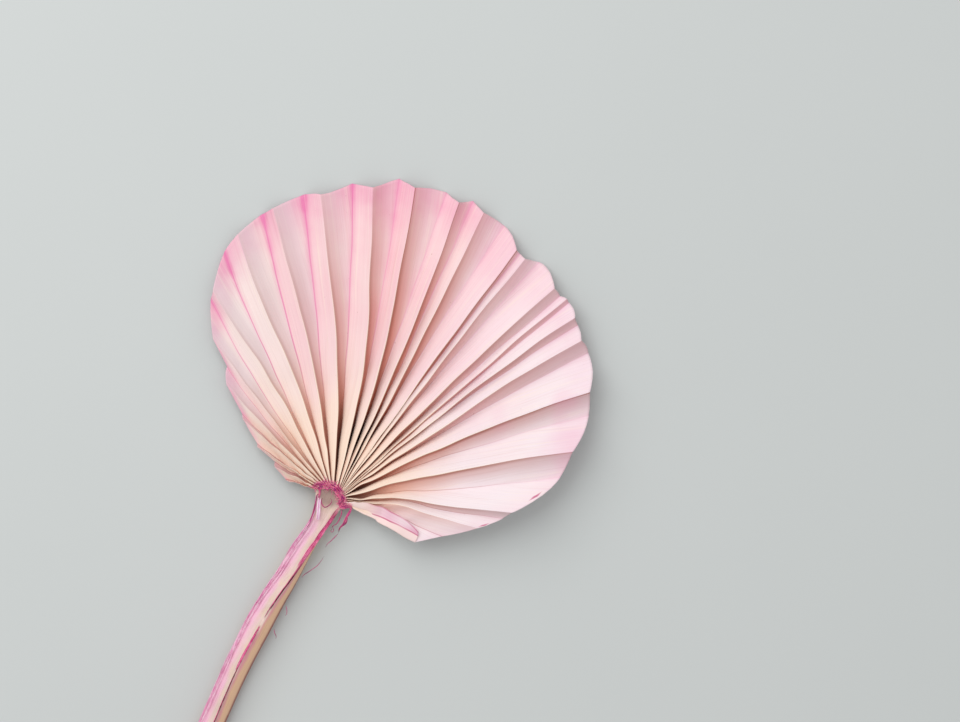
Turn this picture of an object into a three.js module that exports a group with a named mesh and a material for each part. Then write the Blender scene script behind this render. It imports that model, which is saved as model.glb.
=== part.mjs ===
// A dried fan palm leaf, dyed pink and trimmed round, lying face up on a surface.
// Millimetres, +Z up. The leaf's midrib runs along +Y, from the petiole's cut end to the tip.
// Bearings are degrees about the hub, from +Y towards +X. The hub is where the folds meet.

import * as THREE from 'three';

// Pleated blade
const FOOT_CENTRE = new THREE.Vector2(-2.2, -3.1);
const FOOT_RADIUS = 9.1;
const FOOT_FLARE = 0.8;
const FOOT_HALF_ARC = 84;
const FOOT_HEIGHT = 5.5;
const FOOT_PLEAT_DEPTH = 2.6;
const PLEAT_GROWTH_POWER = 0.45;
const FLAT_FROM_RADIUS = 66;
const VALLEY_LAND_WIDTH = 1.6;
const VALLEY_LAND_SHARE = 0.3;
const SHEET_THICKNESS = 0.7;
const STEEPEST_PANEL_AT_RIM = 2;
const STEEPEST_PANEL_AT_FOOT = 6;
const SWELL_POWER = 3;

// Cup of the blade: how far its sides rise, as a slope at the outermost bearing
const CUP_RIGHT = { from: 12, to: 95, slope: 0.27 };
const CUP_LEFT = { from: 35, to: 100, slope: 0.1 };
const CUP_BLEND_RADII = [10, 42];

// Petiole
const HEAD_RADIUS = 8.7;
const HEAD_TOP = 9.4;
const BELLY_POINTS = 11;
const FACE_POINTS = 6;
const FACE_HOLLOW = 0.7;
const CUT_SLANT = 4;
const STALK_STEPS = 34;
const STALK_STEP_CROWDING = 1.6;
const BELLY_FULLNESS = 0.8;

// Hastula and margins
const MARGIN_GAP = 0.35;
const MARGIN_OVERHANG = 0.25;
const MARGIN_THICKNESS = 1.1;
const MARGIN_OUTER_SHARE = 0.6;
const LEFT_MARGIN_WIDTH = 4.2;
const RIGHT_MARGIN_WIDTH = 1.9;
const TORN_WAVES = [{ height: 0.5, length: 23 }, { height: 0.35, length: 12 }];
const ARCH_OUTER_RADIUS = 8.6;
const ARCH_WIDTH = 2.5;
const ARCH_HEIGHT = 2.7;
const ARCH_INNER_SHARE = 0.6;
const ARCH_FRILL = [{ height: 0.35, bearing: 40 }, { height: 0.25, bearing: 21 }];
const ARCH_STEPS = 26;
const ARCH_FROM = -100;
const ARCH_TO = 96;
const MARGIN_STEPS = 40;

// Every fold of the blade, clockwise from its left edge: ridges and valleys take turns, a ridge first.
// Each has the bearing of its tip, its reach from the hub, its sideways bow at mid length, the swell
// of the rim before the next fold, and its height above the floor of the blade at the rim.
const FOLDS = [
  [-102, 28.6, 0, 0, 1.5], [-99, 29.7, 0, 0, 0],
  [-95, 35.8, 0, 0.5, 3], [-89.4, 38.6, 0, 0, 0],
  [-87.4, 49.3, 0, 0, 3], [-85, 52, -0.5, 0.5, 0],
  [-81, 61.6, -0.5, 0.5, 3.5], [-77.2, 69, -1, 0, 0],
  [-74.7, 81, -1.5, 1, 4], [-68.2, 93.5, -2, 0, 0],
  [-66.6, 109, -2.3, 1, 3], [-60.7, 129, -2.8, 0, 0],
  [-59, 133, -2.2, 1, 3.5], [-52.7, 149.5, -2, 0.5, 0],
  [-48.5, 155.7, -2.4, 0.5, 4.5], [-42.8, 162.4, -0.5, 0, 0],
  [-40.3, 164, 2.2, 0.5, 5.5], [-34.2, 169, 0.6, 0.5, 0],
  [-30.8, 168, 3.4, -0.8, 7], [-25, 174.7, 2.2, 0, 0],
  [-21, 173, 4.6, 0, 8], [-16.7, 180.9, 3.5, 0, 0],
  [-13.5, 177.5, 3.7, 1, 8], [-8, 180.3, 1.2, 0, 0],
  [-5, 177, 2, 0, 7], [-3, 181.4, 1.5, 0, 1.5],
  [-0.3, 178.1, 1, 0.6, 7], [4, 177.5, -1.6, 1.6, 0],
  [8.5, 170.2, -1, 0, 8], [9.3, 169.5, -1, 0, 6],
  [10.7, 169.1, -1.3, 0, 7.5], [13.1, 173, -1.6, 2.5, 0.5],
  [18.7, 168, -2.3, 0.5, 9], [20.5, 167.4, -1.6, 0.3, 5],
  [21.6, 169, -0.8, 0, 6.5], [22.5, 169, -1, 1, 5],
  [25.4, 166.3, -2.8, 0, 9], [26.8, 165.2, -2.5, 0.5, 5.5],
  [29.7, 161.8, -2.5, 1, 8], [32.7, 161.8, -2.2, 2.2, 0.5],
  [39.7, 152.9, -3.3, 0.5, 9], [44.5, 147.8, -3, 1.8, 0],
  [51.3, 134.4, -2, 0.6, 8], [57.2, 125.4, -0.6, 3.6, 0],
  [67.2, 98.5, -2.3, 0, 6.5], [69.6, 94, -2.5, 0.8, 0.5],
  [74.5, 81.5, -1.2, 1, 2.5], [83, 63.5, -0.5, 0, 0],
  [84.8, 58.8, -0.2, 0.5, 3.6], [88.2, 53.6, 0, 0, 1],
  [91.9, 51.7, 0, 0, 2.5],
].map(([bearing, reach, bow, swell, lift]) => ({ bearing, reach, bow, swell, lift }));

// Where the folds stand on the foot arch: fold number and bearing about the arch's centre.
// The middle folds crowd on its right half.
const FOOT_BEARINGS = [[0, -84], [17, -18], [19, -5], [21, 8], [23, 18], [39, 46], [43, 58], [50, 80]];

// Steps from a fold's foot to its tip, as shares of its length
const FOLD_STEPS = [0, 0.04, 0.085, 0.14, 0.2, 0.27, 0.35, 0.44, 0.54, 0.65, 0.77, 0.885, 1];

// Petiole along its length, from the cut end to the neck: each value as [y, value] points
const STALK = {
  x: [
    [-250, 6.73], [-190, 2.35], [-143, -1.44], [-120, -3.14], [-103, -3.97], [-86, -4.19],
    [-69, -3.86], [-52, -2.75], [-34, -2.19], [-23, -1.33], [-12, -0.8], [-4.8, -1.8],
  ],
  width: [
    [-250, 12], [-190, 12], [-143, 12], [-120, 11.9], [-103, 12.6], [-86, 13.7], [-69, 12.5],
    [-52, 11.5], [-34, 11], [-23, 10.7], [-14, 11.6], [-9, 13.2], [-4.8, 16.2],
  ],
  thickness: [
    [-250, 12], [-190, 12], [-143, 12], [-120, 12.3], [-103, 12.6], [-86, 12.6],
    [-69, 12.3], [-52, 11.4], [-34, 9.6], [-23, 7.8], [-4.8, 6.6],
  ],
  roll: [
    [-250, 42], [-190, 44], [-143, 45], [-120, 46], [-103, 47], [-86, 46],
    [-69, 41], [-52, 31], [-34, 17], [-23, 3], [-14, 0], [-4.8, 0],
  ],
  lowest: [[-250, 0], [-69, 0], [-52, 0.3], [-34, 0.9], [-23, 1.5], [-4.8, 2.8]],
};
const STALK_END = -250;
const STALK_NECK = -4.8;

// Rounded end of the petiole under the hastula: bearings of its stations, from its sides to its tip
const HEAD_BEARINGS = [90, 76, 62, 48, 35, 23, 12, 4];
const HEAD_THICKNESS = 6.4;
const HEAD_TIP_THICKNESS = 3.6;

const radians = THREE.MathUtils.degToRad;
const { lerp, smoothstep, clamp } = THREE.MathUtils;

// Value at x of a smooth line through [x, y] points, and that of its end points beyond them
function along(points, x) {
  const last = points.length - 1;
  if (x <= points[0][0]) return points[0][1];
  if (x >= points[last][0]) return points[last][1];
  const next = points.findIndex(([px]) => px >= x);
  const [x0, y0] = points[next - 1];
  const [x1, y1] = points[next];
  const t = (x - x0) / (x1 - x0);
  const leaving = slopeAt(points, next - 1) * (x1 - x0);
  const arriving = slopeAt(points, next) * (x1 - x0);
  const bend = t * (1 - t);
  return lerp(y0, y1, t) + bend * ((1 - t) * (leaving - y1 + y0) - t * (arriving - y1 + y0));
}

function slopeAt(points, index) {
  const [x0, y0] = points[Math.max(index - 1, 0)];
  const [x1, y1] = points[Math.min(index + 1, points.length - 1)];
  return (y1 - y0) / (x1 - x0);
}

function polar(bearing, radius) {
  return new THREE.Vector2(Math.sin(radians(bearing)), Math.cos(radians(bearing))).multiplyScalar(radius);
}

// Slope of the blade along a fold: none near the midrib, rising to both sides
function cupSlope(bearing) {
  const side = bearing > 0 ? CUP_RIGHT : CUP_LEFT;
  return side.slope * smoothstep(Math.abs(bearing), side.from, side.to);
}

function foldFoot(index) {
  const bearing = along(FOOT_BEARINGS, index);
  const flare = FOOT_FLARE * Math.abs(bearing / FOOT_HALF_ARC) ** 3;
  return polar(bearing, FOOT_RADIUS + flare).add(FOOT_CENTRE);
}

// Point of a fold in plan at a share t of its length, bowed clockwise by fold.bow
function foldPoint(index, t) {
  const fold = FOLDS[index];
  const foot = foldFoot(index);
  const tip = polar(fold.bearing, fold.reach);
  const run = tip.clone().sub(foot);
  const clockwise = new THREE.Vector2(run.y, -run.x).normalize();
  return foot.addScaledVector(run, t).addScaledVector(clockwise, 4 * t * (1 - t) * fold.bow);
}

function steepestPanel(radius) {
  const share = clamp((FLAT_FROM_RADIUS - radius) / (FLAT_FROM_RADIUS - FOOT_RADIUS), 0, 1);
  return lerp(STEEPEST_PANEL_AT_RIM, STEEPEST_PANEL_AT_FOOT, share);
}

// Upright thickness that keeps the sheet's own thickness on the steepest panel
function uprightThickness(radius) {
  return SHEET_THICKNESS * Math.hypot(1, steepestPanel(radius));
}

// Height of the underside where no fold is: down from the hub to the surface, then up the cup
function floorHeight(radius, bearing) {
  const descent = FOOT_HEIGHT * (1 - smoothstep(radius, FOOT_RADIUS, FLAT_FROM_RADIUS));
  const rise = radius * cupSlope(bearing) * smoothstep(radius, ...CUP_BLEND_RADII);
  return Math.max(descent, rise) + Math.min(descent, rise) / 2;
}

// Folds of one row: plan point and height of the underside
function foldRow(t) {
  const row = FOLDS.map((fold, index) => {
    const point = foldPoint(index, t);
    const ridge = index % 2 === 0;
    const depth = ridge ? lerp(FOOT_PLEAT_DEPTH, fold.lift, t ** PLEAT_GROWTH_POWER) : fold.lift * t;
    return { point, z: floorHeight(point.length(), fold.bearing) + depth };
  });
  for (let valley = 1; valley < row.length; valley += 2) limitValley(row, valley);
  return row;
}

// Raises a valley between close ridges, so that no panel is steeper than the sheet allows
function limitValley(row, valley) {
  const here = row[valley];
  const outward = here.point.clone().normalize();
  for (const ridge of [row[valley - 1], row[valley + 1]]) {
    const width = Math.abs(outward.cross(ridge.point)) * (1 - VALLEY_LAND_SHARE);
    here.z = Math.max(here.z, ridge.z - width * steepestPanel(here.point.length()));
  }
}

// Column points of one row: ridges as an edge, valleys as a narrow flat land, panels with a middle
function bladeRow(t) {
  const folds = foldRow(t);
  const bands = folds.map((fold, index) => (index % 2 === 0 ? [fold] : valleyLand(folds, index)));
  return bands.flatMap((band, index) => {
    const next = bands[index + 1];
    if (!next) return band;
    return [...band, panelMiddle(band[band.length - 1], next[0], FOLDS[index].swell * t ** SWELL_POWER)];
  });
}

function valleyLand(folds, index) {
  const { point, z } = folds[index];
  return [folds[index - 1], folds[index + 1]].map((ridge) => {
    const gap = point.distanceTo(ridge.point);
    const half = Math.min(VALLEY_LAND_WIDTH / 2, VALLEY_LAND_SHARE * gap);
    return { point: point.clone().lerp(ridge.point, half / gap), z };
  });
}

function panelMiddle(left, right, swell) {
  const point = left.point.clone().lerp(right.point, 0.5);
  point.addScaledVector(point.clone().normalize(), swell);
  return { point, z: (left.z + right.z) / 2 };
}

// Closed solid from an upper and a lower grid of points, split into triangles alike on both faces
function sheetSolid(upper, lower) {
  const rows = upper.length;
  const columns = upper[0].length;
  const positions = [...upper.flat(), ...lower.flat()].flatMap((p) => [p.x, p.y, p.z]);
  const top = (r, c) => r * columns + c;
  const bottom = (r, c) => rows * columns + top(r, c);
  const faces = [];
  const quad = (a, b, c, d) => faces.push(a, b, c, a, c, d);
  for (let r = 0; r < rows - 1; r += 1) {
    for (let c = 0; c < columns - 1; c += 1) {
      faces.push(top(r, c), top(r, c + 1), top(r + 1, c), top(r, c + 1), top(r + 1, c + 1), top(r + 1, c));
      faces.push(bottom(r, c), bottom(r + 1, c), bottom(r, c + 1));
      faces.push(bottom(r, c + 1), bottom(r + 1, c), bottom(r + 1, c + 1));
    }
    const last = columns - 1;
    quad(top(r, 0), top(r + 1, 0), bottom(r + 1, 0), bottom(r, 0));
    quad(top(r + 1, last), top(r, last), bottom(r, last), bottom(r + 1, last));
  }
  for (let c = 0; c < columns - 1; c += 1) {
    const last = rows - 1;
    quad(top(0, c + 1), top(0, c), bottom(0, c), bottom(0, c + 1));
    quad(top(last, c), top(last, c + 1), bottom(last, c + 1), bottom(last, c));
  }
  return indexedGeometry(positions, faces);
}

// Closed solid through rings of equally many points, each ring anticlockwise seen from ahead
function loftSolid(rings) {
  const count = rings[0].length;
  const positions = rings.flat().flatMap((p) => [p.x, p.y, p.z]);
  const faces = [];
  for (let r = 0; r < rings.length - 1; r += 1) {
    for (let i = 0; i < count; i += 1) {
      const j = (i + 1) % count;
      const [a, b, c, d] = [r * count + i, r * count + j, (r + 1) * count + j, (r + 1) * count + i];
      faces.push(a, b, c, a, c, d);
    }
  }
  const end = (rings.length - 1) * count;
  for (let i = 1; i < count - 1; i += 1) {
    faces.push(0, i + 1, i, end, end + i, end + i + 1);
  }
  return indexedGeometry(positions, faces);
}

function indexedGeometry(positions, faces) {
  const geometry = new THREE.BufferGeometry();
  geometry.setAttribute('position', new THREE.Float32BufferAttribute(positions, 3));
  geometry.setIndex(faces);
  geometry.computeVertexNormals();
  return geometry;
}

function bladeGeometry() {
  const rows = FOLD_STEPS.map(bladeRow);
  const lower = rows.map((row) => row.map(({ point, z }) => new THREE.Vector3(point.x, point.y, z)));
  const upper = lower.map((row) => row.map((p) => (
    p.clone().setZ(p.z + uprightThickness(Math.hypot(p.x, p.y)))
  )));
  return sheetSolid(upper, lower);
}

// Section of the petiole about the middle of its face: u to the right, w up.
// A slightly hollow face on top and a round belly under it, anticlockwise seen from the blade.
function stalkSection(width, thickness) {
  const points = [];
  for (let i = 0; i < FACE_POINTS; i += 1) {
    const u = (2 * i) / (FACE_POINTS - 1) - 1;
    points.push(new THREE.Vector2((u * width) / 2, -FACE_HOLLOW * (1 - u * u)));
  }
  for (let i = 1; i <= BELLY_POINTS; i += 1) {
    const angle = (Math.PI * i) / (BELLY_POINTS + 1);
    const across = Math.cos(angle);
    const depth = Math.sin(angle) ** BELLY_FULLNESS;
    points.push(new THREE.Vector2((across * width) / 2, -depth * thickness));
  }
  return points;
}

// Frame of a petiole station: places a section point (u, w) in space, rolled about the stalk
function stationFrame(station) {
  const roll = radians(station.roll);
  const turned = stalkSection(station.width, station.thickness).map(({ x, y }) => ({
    x: x * Math.cos(roll) - y * Math.sin(roll),
    z: x * Math.sin(roll) + y * Math.cos(roll),
  }));
  const xs = turned.map((p) => p.x);
  const x0 = station.x - (Math.min(...xs) + Math.max(...xs)) / 2;
  const z0 = Math.max(station.lowest, 0) - Math.min(...turned.map((p) => p.z));
  return (u, w) => new THREE.Vector3(
    x0 + u * Math.cos(roll) - w * Math.sin(roll),
    station.y,
    z0 + u * Math.sin(roll) + w * Math.cos(roll),
  );
}

function headStations() {
  return HEAD_BEARINGS.map((bearing) => {
    const tip = 1 - bearing / HEAD_BEARINGS[0];
    const thickness = lerp(HEAD_THICKNESS, HEAD_TIP_THICKNESS, tip);
    return {
      y: FOOT_CENTRE.y + HEAD_RADIUS * Math.cos(radians(bearing)),
      x: FOOT_CENTRE.x,
      width: 2 * HEAD_RADIUS * Math.sin(radians(bearing)),
      thickness,
      roll: 0,
      lowest: HEAD_TOP - thickness,
    };
  });
}

function petioleGeometry() {
  const stations = headStations();
  for (let i = STALK_STEPS; i >= 0; i -= 1) {
    const share = 1 - (1 - i / STALK_STEPS) ** STALK_STEP_CROWDING;
    stations.unshift(stationAt(lerp(STALK_END, STALK_NECK, share)));
  }
  const rings = stations.map((station, index) => {
    const place = stationFrame(station);
    const slant = index === 0 ? CUT_SLANT / station.width : 0;
    return stalkSection(station.width, station.thickness).map(({ x, y }) => {
      const point = place(x, y);
      point.y += slant * x;
      return point;
    });
  });
  return loftSolid(rings);
}

function stationAt(y) {
  const values = Object.entries(STALK).map(([key, points]) => [key, along(points, y)]);
  return { y, ...Object.fromEntries(values) };
}

// Uneven torn edge of the stripped margins, from two waves of unlike length
function tornEdge(y, side) {
  return TORN_WAVES.reduce((sum, { height, length }) => (
    sum + height * Math.sin((2 * Math.PI * y) / length + side)
  ), 0);
}

// Section of a margin strip on one side of the petiole's face
function marginSection(y, side) {
  const station = stationAt(y);
  const place = stationFrame(station);
  const rim = side * (station.width / 2 + MARGIN_OVERHANG);
  const width = (side < 0 ? LEFT_MARGIN_WIDTH : RIGHT_MARGIN_WIDTH) + tornEdge(y, side);
  const inner = rim - side * width;
  const face = (u) => MARGIN_GAP - FACE_HOLLOW * Math.max(0, 1 - (2 * u / station.width) ** 2);
  return [
    place(inner, face(inner)), place(rim, face(rim)),
    place(rim, face(rim) + MARGIN_THICKNESS * MARGIN_OUTER_SHARE),
    place(inner, face(inner) + MARGIN_THICKNESS),
  ];
}

// Section of the raised arch between the petiole's face and the feet of the folds
function archSection(bearing) {
  const crown = ARCH_FRILL.reduce((sum, frill) => (
    sum + frill.height * Math.sin((2 * Math.PI * bearing) / frill.bearing)
  ), ARCH_HEIGHT);
  const inner = polar(bearing, ARCH_OUTER_RADIUS - ARCH_WIDTH).add(FOOT_CENTRE);
  const outer = polar(bearing, ARCH_OUTER_RADIUS).add(FOOT_CENTRE);
  const foot = HEAD_TOP + MARGIN_GAP;
  return [
    new THREE.Vector3(inner.x, inner.y, foot),
    new THREE.Vector3(outer.x, outer.y, foot),
    new THREE.Vector3(outer.x, outer.y, foot + crown),
    new THREE.Vector3(inner.x, inner.y, foot + crown * ARCH_INNER_SHARE),
  ];
}

function hastulaGeometry() {
  const from = STALK_END + CUT_SLANT;
  const to = STALK_NECK;
  const rings = [];
  for (let i = 0; i <= MARGIN_STEPS; i += 1) rings.push(marginSection(lerp(from, to, i / MARGIN_STEPS), -1));
  for (let i = 0; i <= ARCH_STEPS; i += 1) rings.push(archSection(lerp(ARCH_FROM, ARCH_TO, i / ARCH_STEPS)));
  for (let i = 0; i <= MARGIN_STEPS; i += 1) rings.push(marginSection(lerp(to, from, i / MARGIN_STEPS), 1));
  return loftSolid(rings);
}

function namedMesh(name, geometry, color, roughness) {
  const mesh = new THREE.Mesh(geometry, new THREE.MeshStandardMaterial({ color, roughness, metalness: 0 }));
  mesh.name = name;
  return mesh;
}

// The leaf, set down with the middle of its box over the origin
const leaf = new THREE.Group();
leaf.add(namedMesh('blade', bladeGeometry(), 0xf2d9d6, 0.78));
leaf.add(namedMesh('petiole', petioleGeometry(), 0xc9b29c, 0.7));
leaf.add(namedMesh('hastula', hastulaGeometry(), 0xcf5f9c, 0.85));

const box = new THREE.Box3().setFromObject(leaf);
const middle = box.getCenter(new THREE.Vector3());
leaf.position.set(-middle.x, -middle.y, -box.min.z);
leaf.updateMatrixWorld(true);

export default leaf;
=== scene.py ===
"""Looks of a dried fan palm leaf, dyed blush pink and trimmed round, lying face up on a pale surface.

The leaf is one pleated blade, a cut petiole, and the torn fibre that rings their meeting place and runs
down both edges of the petiole. Sizes in the tables are millimetres from the hub, where the folds meet,
with +Y along the midrib. Meshes are metres in the frame of the solids. HUB is the hub's place in that
frame, and ARCH_CENTRE is the middle of the arch of fibre, from the hub.
"""

import logging
import math
from dataclasses import dataclass
from enum import Enum
from typing import Sequence, Union

import bpy
import numpy as np
from mathutils import Matrix, Vector, noise


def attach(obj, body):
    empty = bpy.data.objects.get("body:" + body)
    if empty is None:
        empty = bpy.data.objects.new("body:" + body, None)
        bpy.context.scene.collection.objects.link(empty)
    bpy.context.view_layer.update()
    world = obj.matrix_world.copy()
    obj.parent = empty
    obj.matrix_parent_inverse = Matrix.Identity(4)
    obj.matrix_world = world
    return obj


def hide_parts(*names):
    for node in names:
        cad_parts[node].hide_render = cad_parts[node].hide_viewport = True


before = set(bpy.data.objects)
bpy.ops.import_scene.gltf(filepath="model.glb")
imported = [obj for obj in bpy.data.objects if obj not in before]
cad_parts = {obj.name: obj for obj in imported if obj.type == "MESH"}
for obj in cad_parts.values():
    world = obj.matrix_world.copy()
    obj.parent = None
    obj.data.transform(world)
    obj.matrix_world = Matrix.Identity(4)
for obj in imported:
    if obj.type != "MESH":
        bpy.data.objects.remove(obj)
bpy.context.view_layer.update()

LOG = logging.getLogger("leaf")
MM = 0.001
HUB = (6.5788, 35.5587)
ARCH_CENTRE = (-2.2, -3.1)
BODY = "root"

Colour = tuple[float, float, float]
Source = Union["Number", "Triple", bpy.types.NodeSocket, bpy.types.ID, float, int, bool, str, tuple]


def polar(bearing: float, radius: float) -> Vector:
    """Returns the plan point at a bearing in degrees from +Y towards +X, and a radius."""
    return Vector((math.sin(math.radians(bearing)), math.cos(math.radians(bearing)))) * radius


def in_frame(points: np.ndarray) -> np.ndarray:
    """Returns points given in millimetres from the hub as metres in the frame of the solids."""
    return (np.asarray(points, float) + np.array([*HUB, 0.0])) * MM


def eased(low: float, high: float, value: np.ndarray | float) -> np.ndarray | float:
    """Returns the smooth step of a value between two limits."""
    share = np.clip((value - low) / (high - low), 0.0, 1.0)
    return share * share * (3.0 - 2.0 * share)


def linear(red: int, green: int, blue: int) -> tuple[float, float, float, float]:
    """Returns a display colour of 0 to 255 a channel as the linear colour that a socket takes."""
    channels = [c / 255.0 for c in (red, green, blue)]
    return (*(c / 12.92 if c <= 0.04045 else ((c + 0.055) / 1.055) ** 2.4 for c in channels), 1.0)


@dataclass(frozen=True)
class SmoothLine:
    """A smooth line through (x, y) points, level beyond its ends."""

    points: tuple[tuple[float, float], ...]

    def _slope(self, index: int) -> float:
        """Returns the slope at a point, from its neighbours."""
        x0, y0 = self.points[max(index - 1, 0)]
        x1, y1 = self.points[min(index + 1, len(self.points) - 1)]
        return (y1 - y0) / (x1 - x0)

    def at(self, x: float) -> float:
        """Returns the line's value at x."""
        if x <= self.points[0][0]:
            return self.points[0][1]
        if x >= self.points[-1][0]:
            return self.points[-1][1]
        following = next(i for i, (px, _) in enumerate(self.points) if px >= x)
        (x0, y0), (x1, y1) = self.points[following - 1], self.points[following]
        t = (x - x0) / (x1 - x0)
        leaving = self._slope(following - 1) * (x1 - x0) - (y1 - y0)
        arriving = self._slope(following) * (x1 - x0) - (y1 - y0)
        return y0 + (y1 - y0) * t + t * (1 - t) * ((1 - t) * leaving - t * arriving)


class Number:
    """A socket that carries one number: arithmetic on it adds Math nodes."""

    def __init__(self, graph: "Graph", socket: bpy.types.NodeSocket) -> None:
        """Wraps a socket of a graph."""
        self.graph, self.socket = graph, socket

    def _maths(self, operation: str, *values: Source) -> "Number":
        """Returns the result of a Math node on the given values."""
        node = self.graph.node("ShaderNodeMath", {"operation": operation}, dict(enumerate(values)))
        return Number(self.graph, node.outputs[0])

    def __add__(self, other: Source) -> "Number":
        """Returns the sum."""
        return self._maths("ADD", self, other)

    def __sub__(self, other: Source) -> "Number":
        """Returns the difference."""
        return self._maths("SUBTRACT", self, other)

    def __rsub__(self, other: Source) -> "Number":
        """Returns the difference from another value."""
        return self._maths("SUBTRACT", other, self)

    def __mul__(self, other: Source) -> "Number":
        """Returns the product."""
        return self._maths("MULTIPLY", self, other)

    def __truediv__(self, other: Source) -> "Number":
        """Returns the quotient."""
        return self._maths("DIVIDE", self, other)

    def __pow__(self, other: Source) -> "Number":
        """Returns the power."""
        return self._maths("POWER", self, other)

    __radd__ = __add__
    __rmul__ = __mul__

    def apply(self, operation: str, *values: Source) -> "Number":
        """Returns a named Math operation on this number and further values."""
        return self._maths(operation, self, *values)

    def step(self, low: float, high: float) -> "Number":
        """Returns a smooth rise from 0 at low to 1 at high, or a fall where low is above high."""
        if low > high:
            return 1 - self.step(high, low)
        node = self.graph.node(
            "ShaderNodeMapRange",
            {"interpolation_type": "SMOOTHSTEP"},
            {"Value": self, "From Min": low, "From Max": high},
        )
        return Number(self.graph, node.outputs[0])


class Triple:
    """A socket that carries a vector or a colour: arithmetic on it adds Vector Math nodes."""

    def __init__(self, graph: "Graph", socket: bpy.types.NodeSocket) -> None:
        """Wraps a socket of a graph."""
        self.graph, self.socket = graph, socket
        self._parts: bpy.types.Node | None = None

    def _maths(self, operation: str, other: Source) -> "Triple":
        """Returns the result of a Vector Math node."""
        node = self.graph.node("ShaderNodeVectorMath", {"operation": operation}, {0: self, 1: other})
        return Triple(self.graph, node.outputs[0])

    def __add__(self, other: Source) -> "Triple":
        """Returns the sum."""
        return self._maths("ADD", other)

    def __sub__(self, other: Source) -> "Triple":
        """Returns the difference."""
        return self._maths("SUBTRACT", other)

    def __mul__(self, factor: Source) -> "Triple":
        """Returns the vector scaled by a number, or multiplied by another vector part by part."""
        if isinstance(factor, (Triple, tuple)):
            return self._maths("MULTIPLY", factor)
        node = self.graph.node("ShaderNodeVectorMath", {"operation": "SCALE"}, {0: self, "Scale": factor})
        return Triple(self.graph, node.outputs[0])

    def length(self) -> Number:
        """Returns the vector's length."""
        node = self.graph.node("ShaderNodeVectorMath", {"operation": "LENGTH"}, {0: self})
        return Number(self.graph, node.outputs["Value"])

    def part(self, index: int) -> Number:
        """Returns one of the three parts."""
        if self._parts is None:
            self._parts = self.graph.node("ShaderNodeSeparateXYZ", {}, {0: self})
        return Number(self.graph, self._parts.outputs[index])


class Graph:
    """Adds nodes to one tree, of a material or of a modifier."""

    def __init__(self, tree: bpy.types.NodeTree) -> None:
        """Takes the tree that the nodes go into."""
        self.tree = tree

    def node(self, kind: str, settings: dict | None = None, inputs: dict | None = None) -> bpy.types.Node:
        """Adds a node.

        Args:
            kind: The node's type.
            settings: Its properties, set before its sockets. "stops" fills a colour ramp.
            inputs: Values or links of its sockets, by number or by name.

        Returns:
            The new node.
        """
        node = self.tree.nodes.new(kind)
        for name, value in (settings or {}).items():
            if name == "stops":
                self._fill_ramp(node.color_ramp, value)
            else:
                setattr(node, name, value)
        for key, value in (inputs or {}).items():
            socket = node.inputs[key] if isinstance(key, int) else self.named(node.inputs, key)
            self.feed(socket, value)
        return node

    @staticmethod
    def named(sockets: bpy.types.bpy_prop_collection, name: str) -> bpy.types.NodeSocket:
        """Returns the socket in use that has the name."""
        return next(s for s in sockets if s.name == name and s.enabled)

    @staticmethod
    def _fill_ramp(ramp: bpy.types.ColorRamp, stops: Sequence[tuple[float, tuple]]) -> None:
        """Gives a colour ramp its stops, each a place and a colour."""
        while len(ramp.elements) < len(stops):
            ramp.elements.new(1.0)
        for element, (place, colour) in zip(ramp.elements, stops):
            element.position, element.color = place, colour

    def feed(self, socket: bpy.types.NodeSocket, value: Source) -> None:
        """Links a source to a socket, or sets the socket's own value."""
        if isinstance(value, (Number, Triple)):
            value = value.socket
        if isinstance(value, bpy.types.NodeSocket):
            self.tree.links.new(value, socket)
        else:
            socket.default_value = value

    def vector(self, x: Source, y: Source, z: Source) -> Triple:
        """Returns a vector of three numbers."""
        return Triple(self, self.node("ShaderNodeCombineXYZ", {}, {0: x, 1: y, 2: z}).outputs[0])

    def noise(self, place: Source, scale: float, detail: float = 2.0, rough: float = 0.5) -> Number:
        """Returns cloudy noise about 0.5 at a place."""
        inputs = {"Vector": place, "Scale": scale, "Detail": detail, "Roughness": rough}
        return Number(self, self.node("ShaderNodeTexNoise", {}, inputs).outputs[0])

    def noise_vector(self, place: Source, scale: float, detail: float = 2.0) -> Triple:
        """Returns noise of three parts, each about 0."""
        inputs = {"Vector": place, "Scale": scale, "Detail": detail}
        return Triple(self, self.node("ShaderNodeTexNoise", {}, inputs).outputs[1]) - (0.5, 0.5, 0.5)

    def blend(self, factor: Source, first: Source, second: Source, kind: str = "RGBA") -> Triple:
        """Returns a mix of two colours, or of two vectors where kind is VECTOR."""
        node = self.node("ShaderNodeMix", {"data_type": kind}, {"Factor": factor, "A": first, "B": second})
        return Triple(self, self.named(node.outputs, "Result"))

    def mixed(self, factor: Source, first: Source, second: Source) -> Number:
        """Returns a mix of two numbers."""
        node = self.node("ShaderNodeMix", {"data_type": "FLOAT"}, {"Factor": factor, "A": first, "B": second})
        return Number(self, self.named(node.outputs, "Result"))


class Kind(Enum):
    """Kinds of input that a modelling tree takes."""

    LENGTH = "NodeSocketFloat"
    COUNT = "NodeSocketInt"


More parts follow.
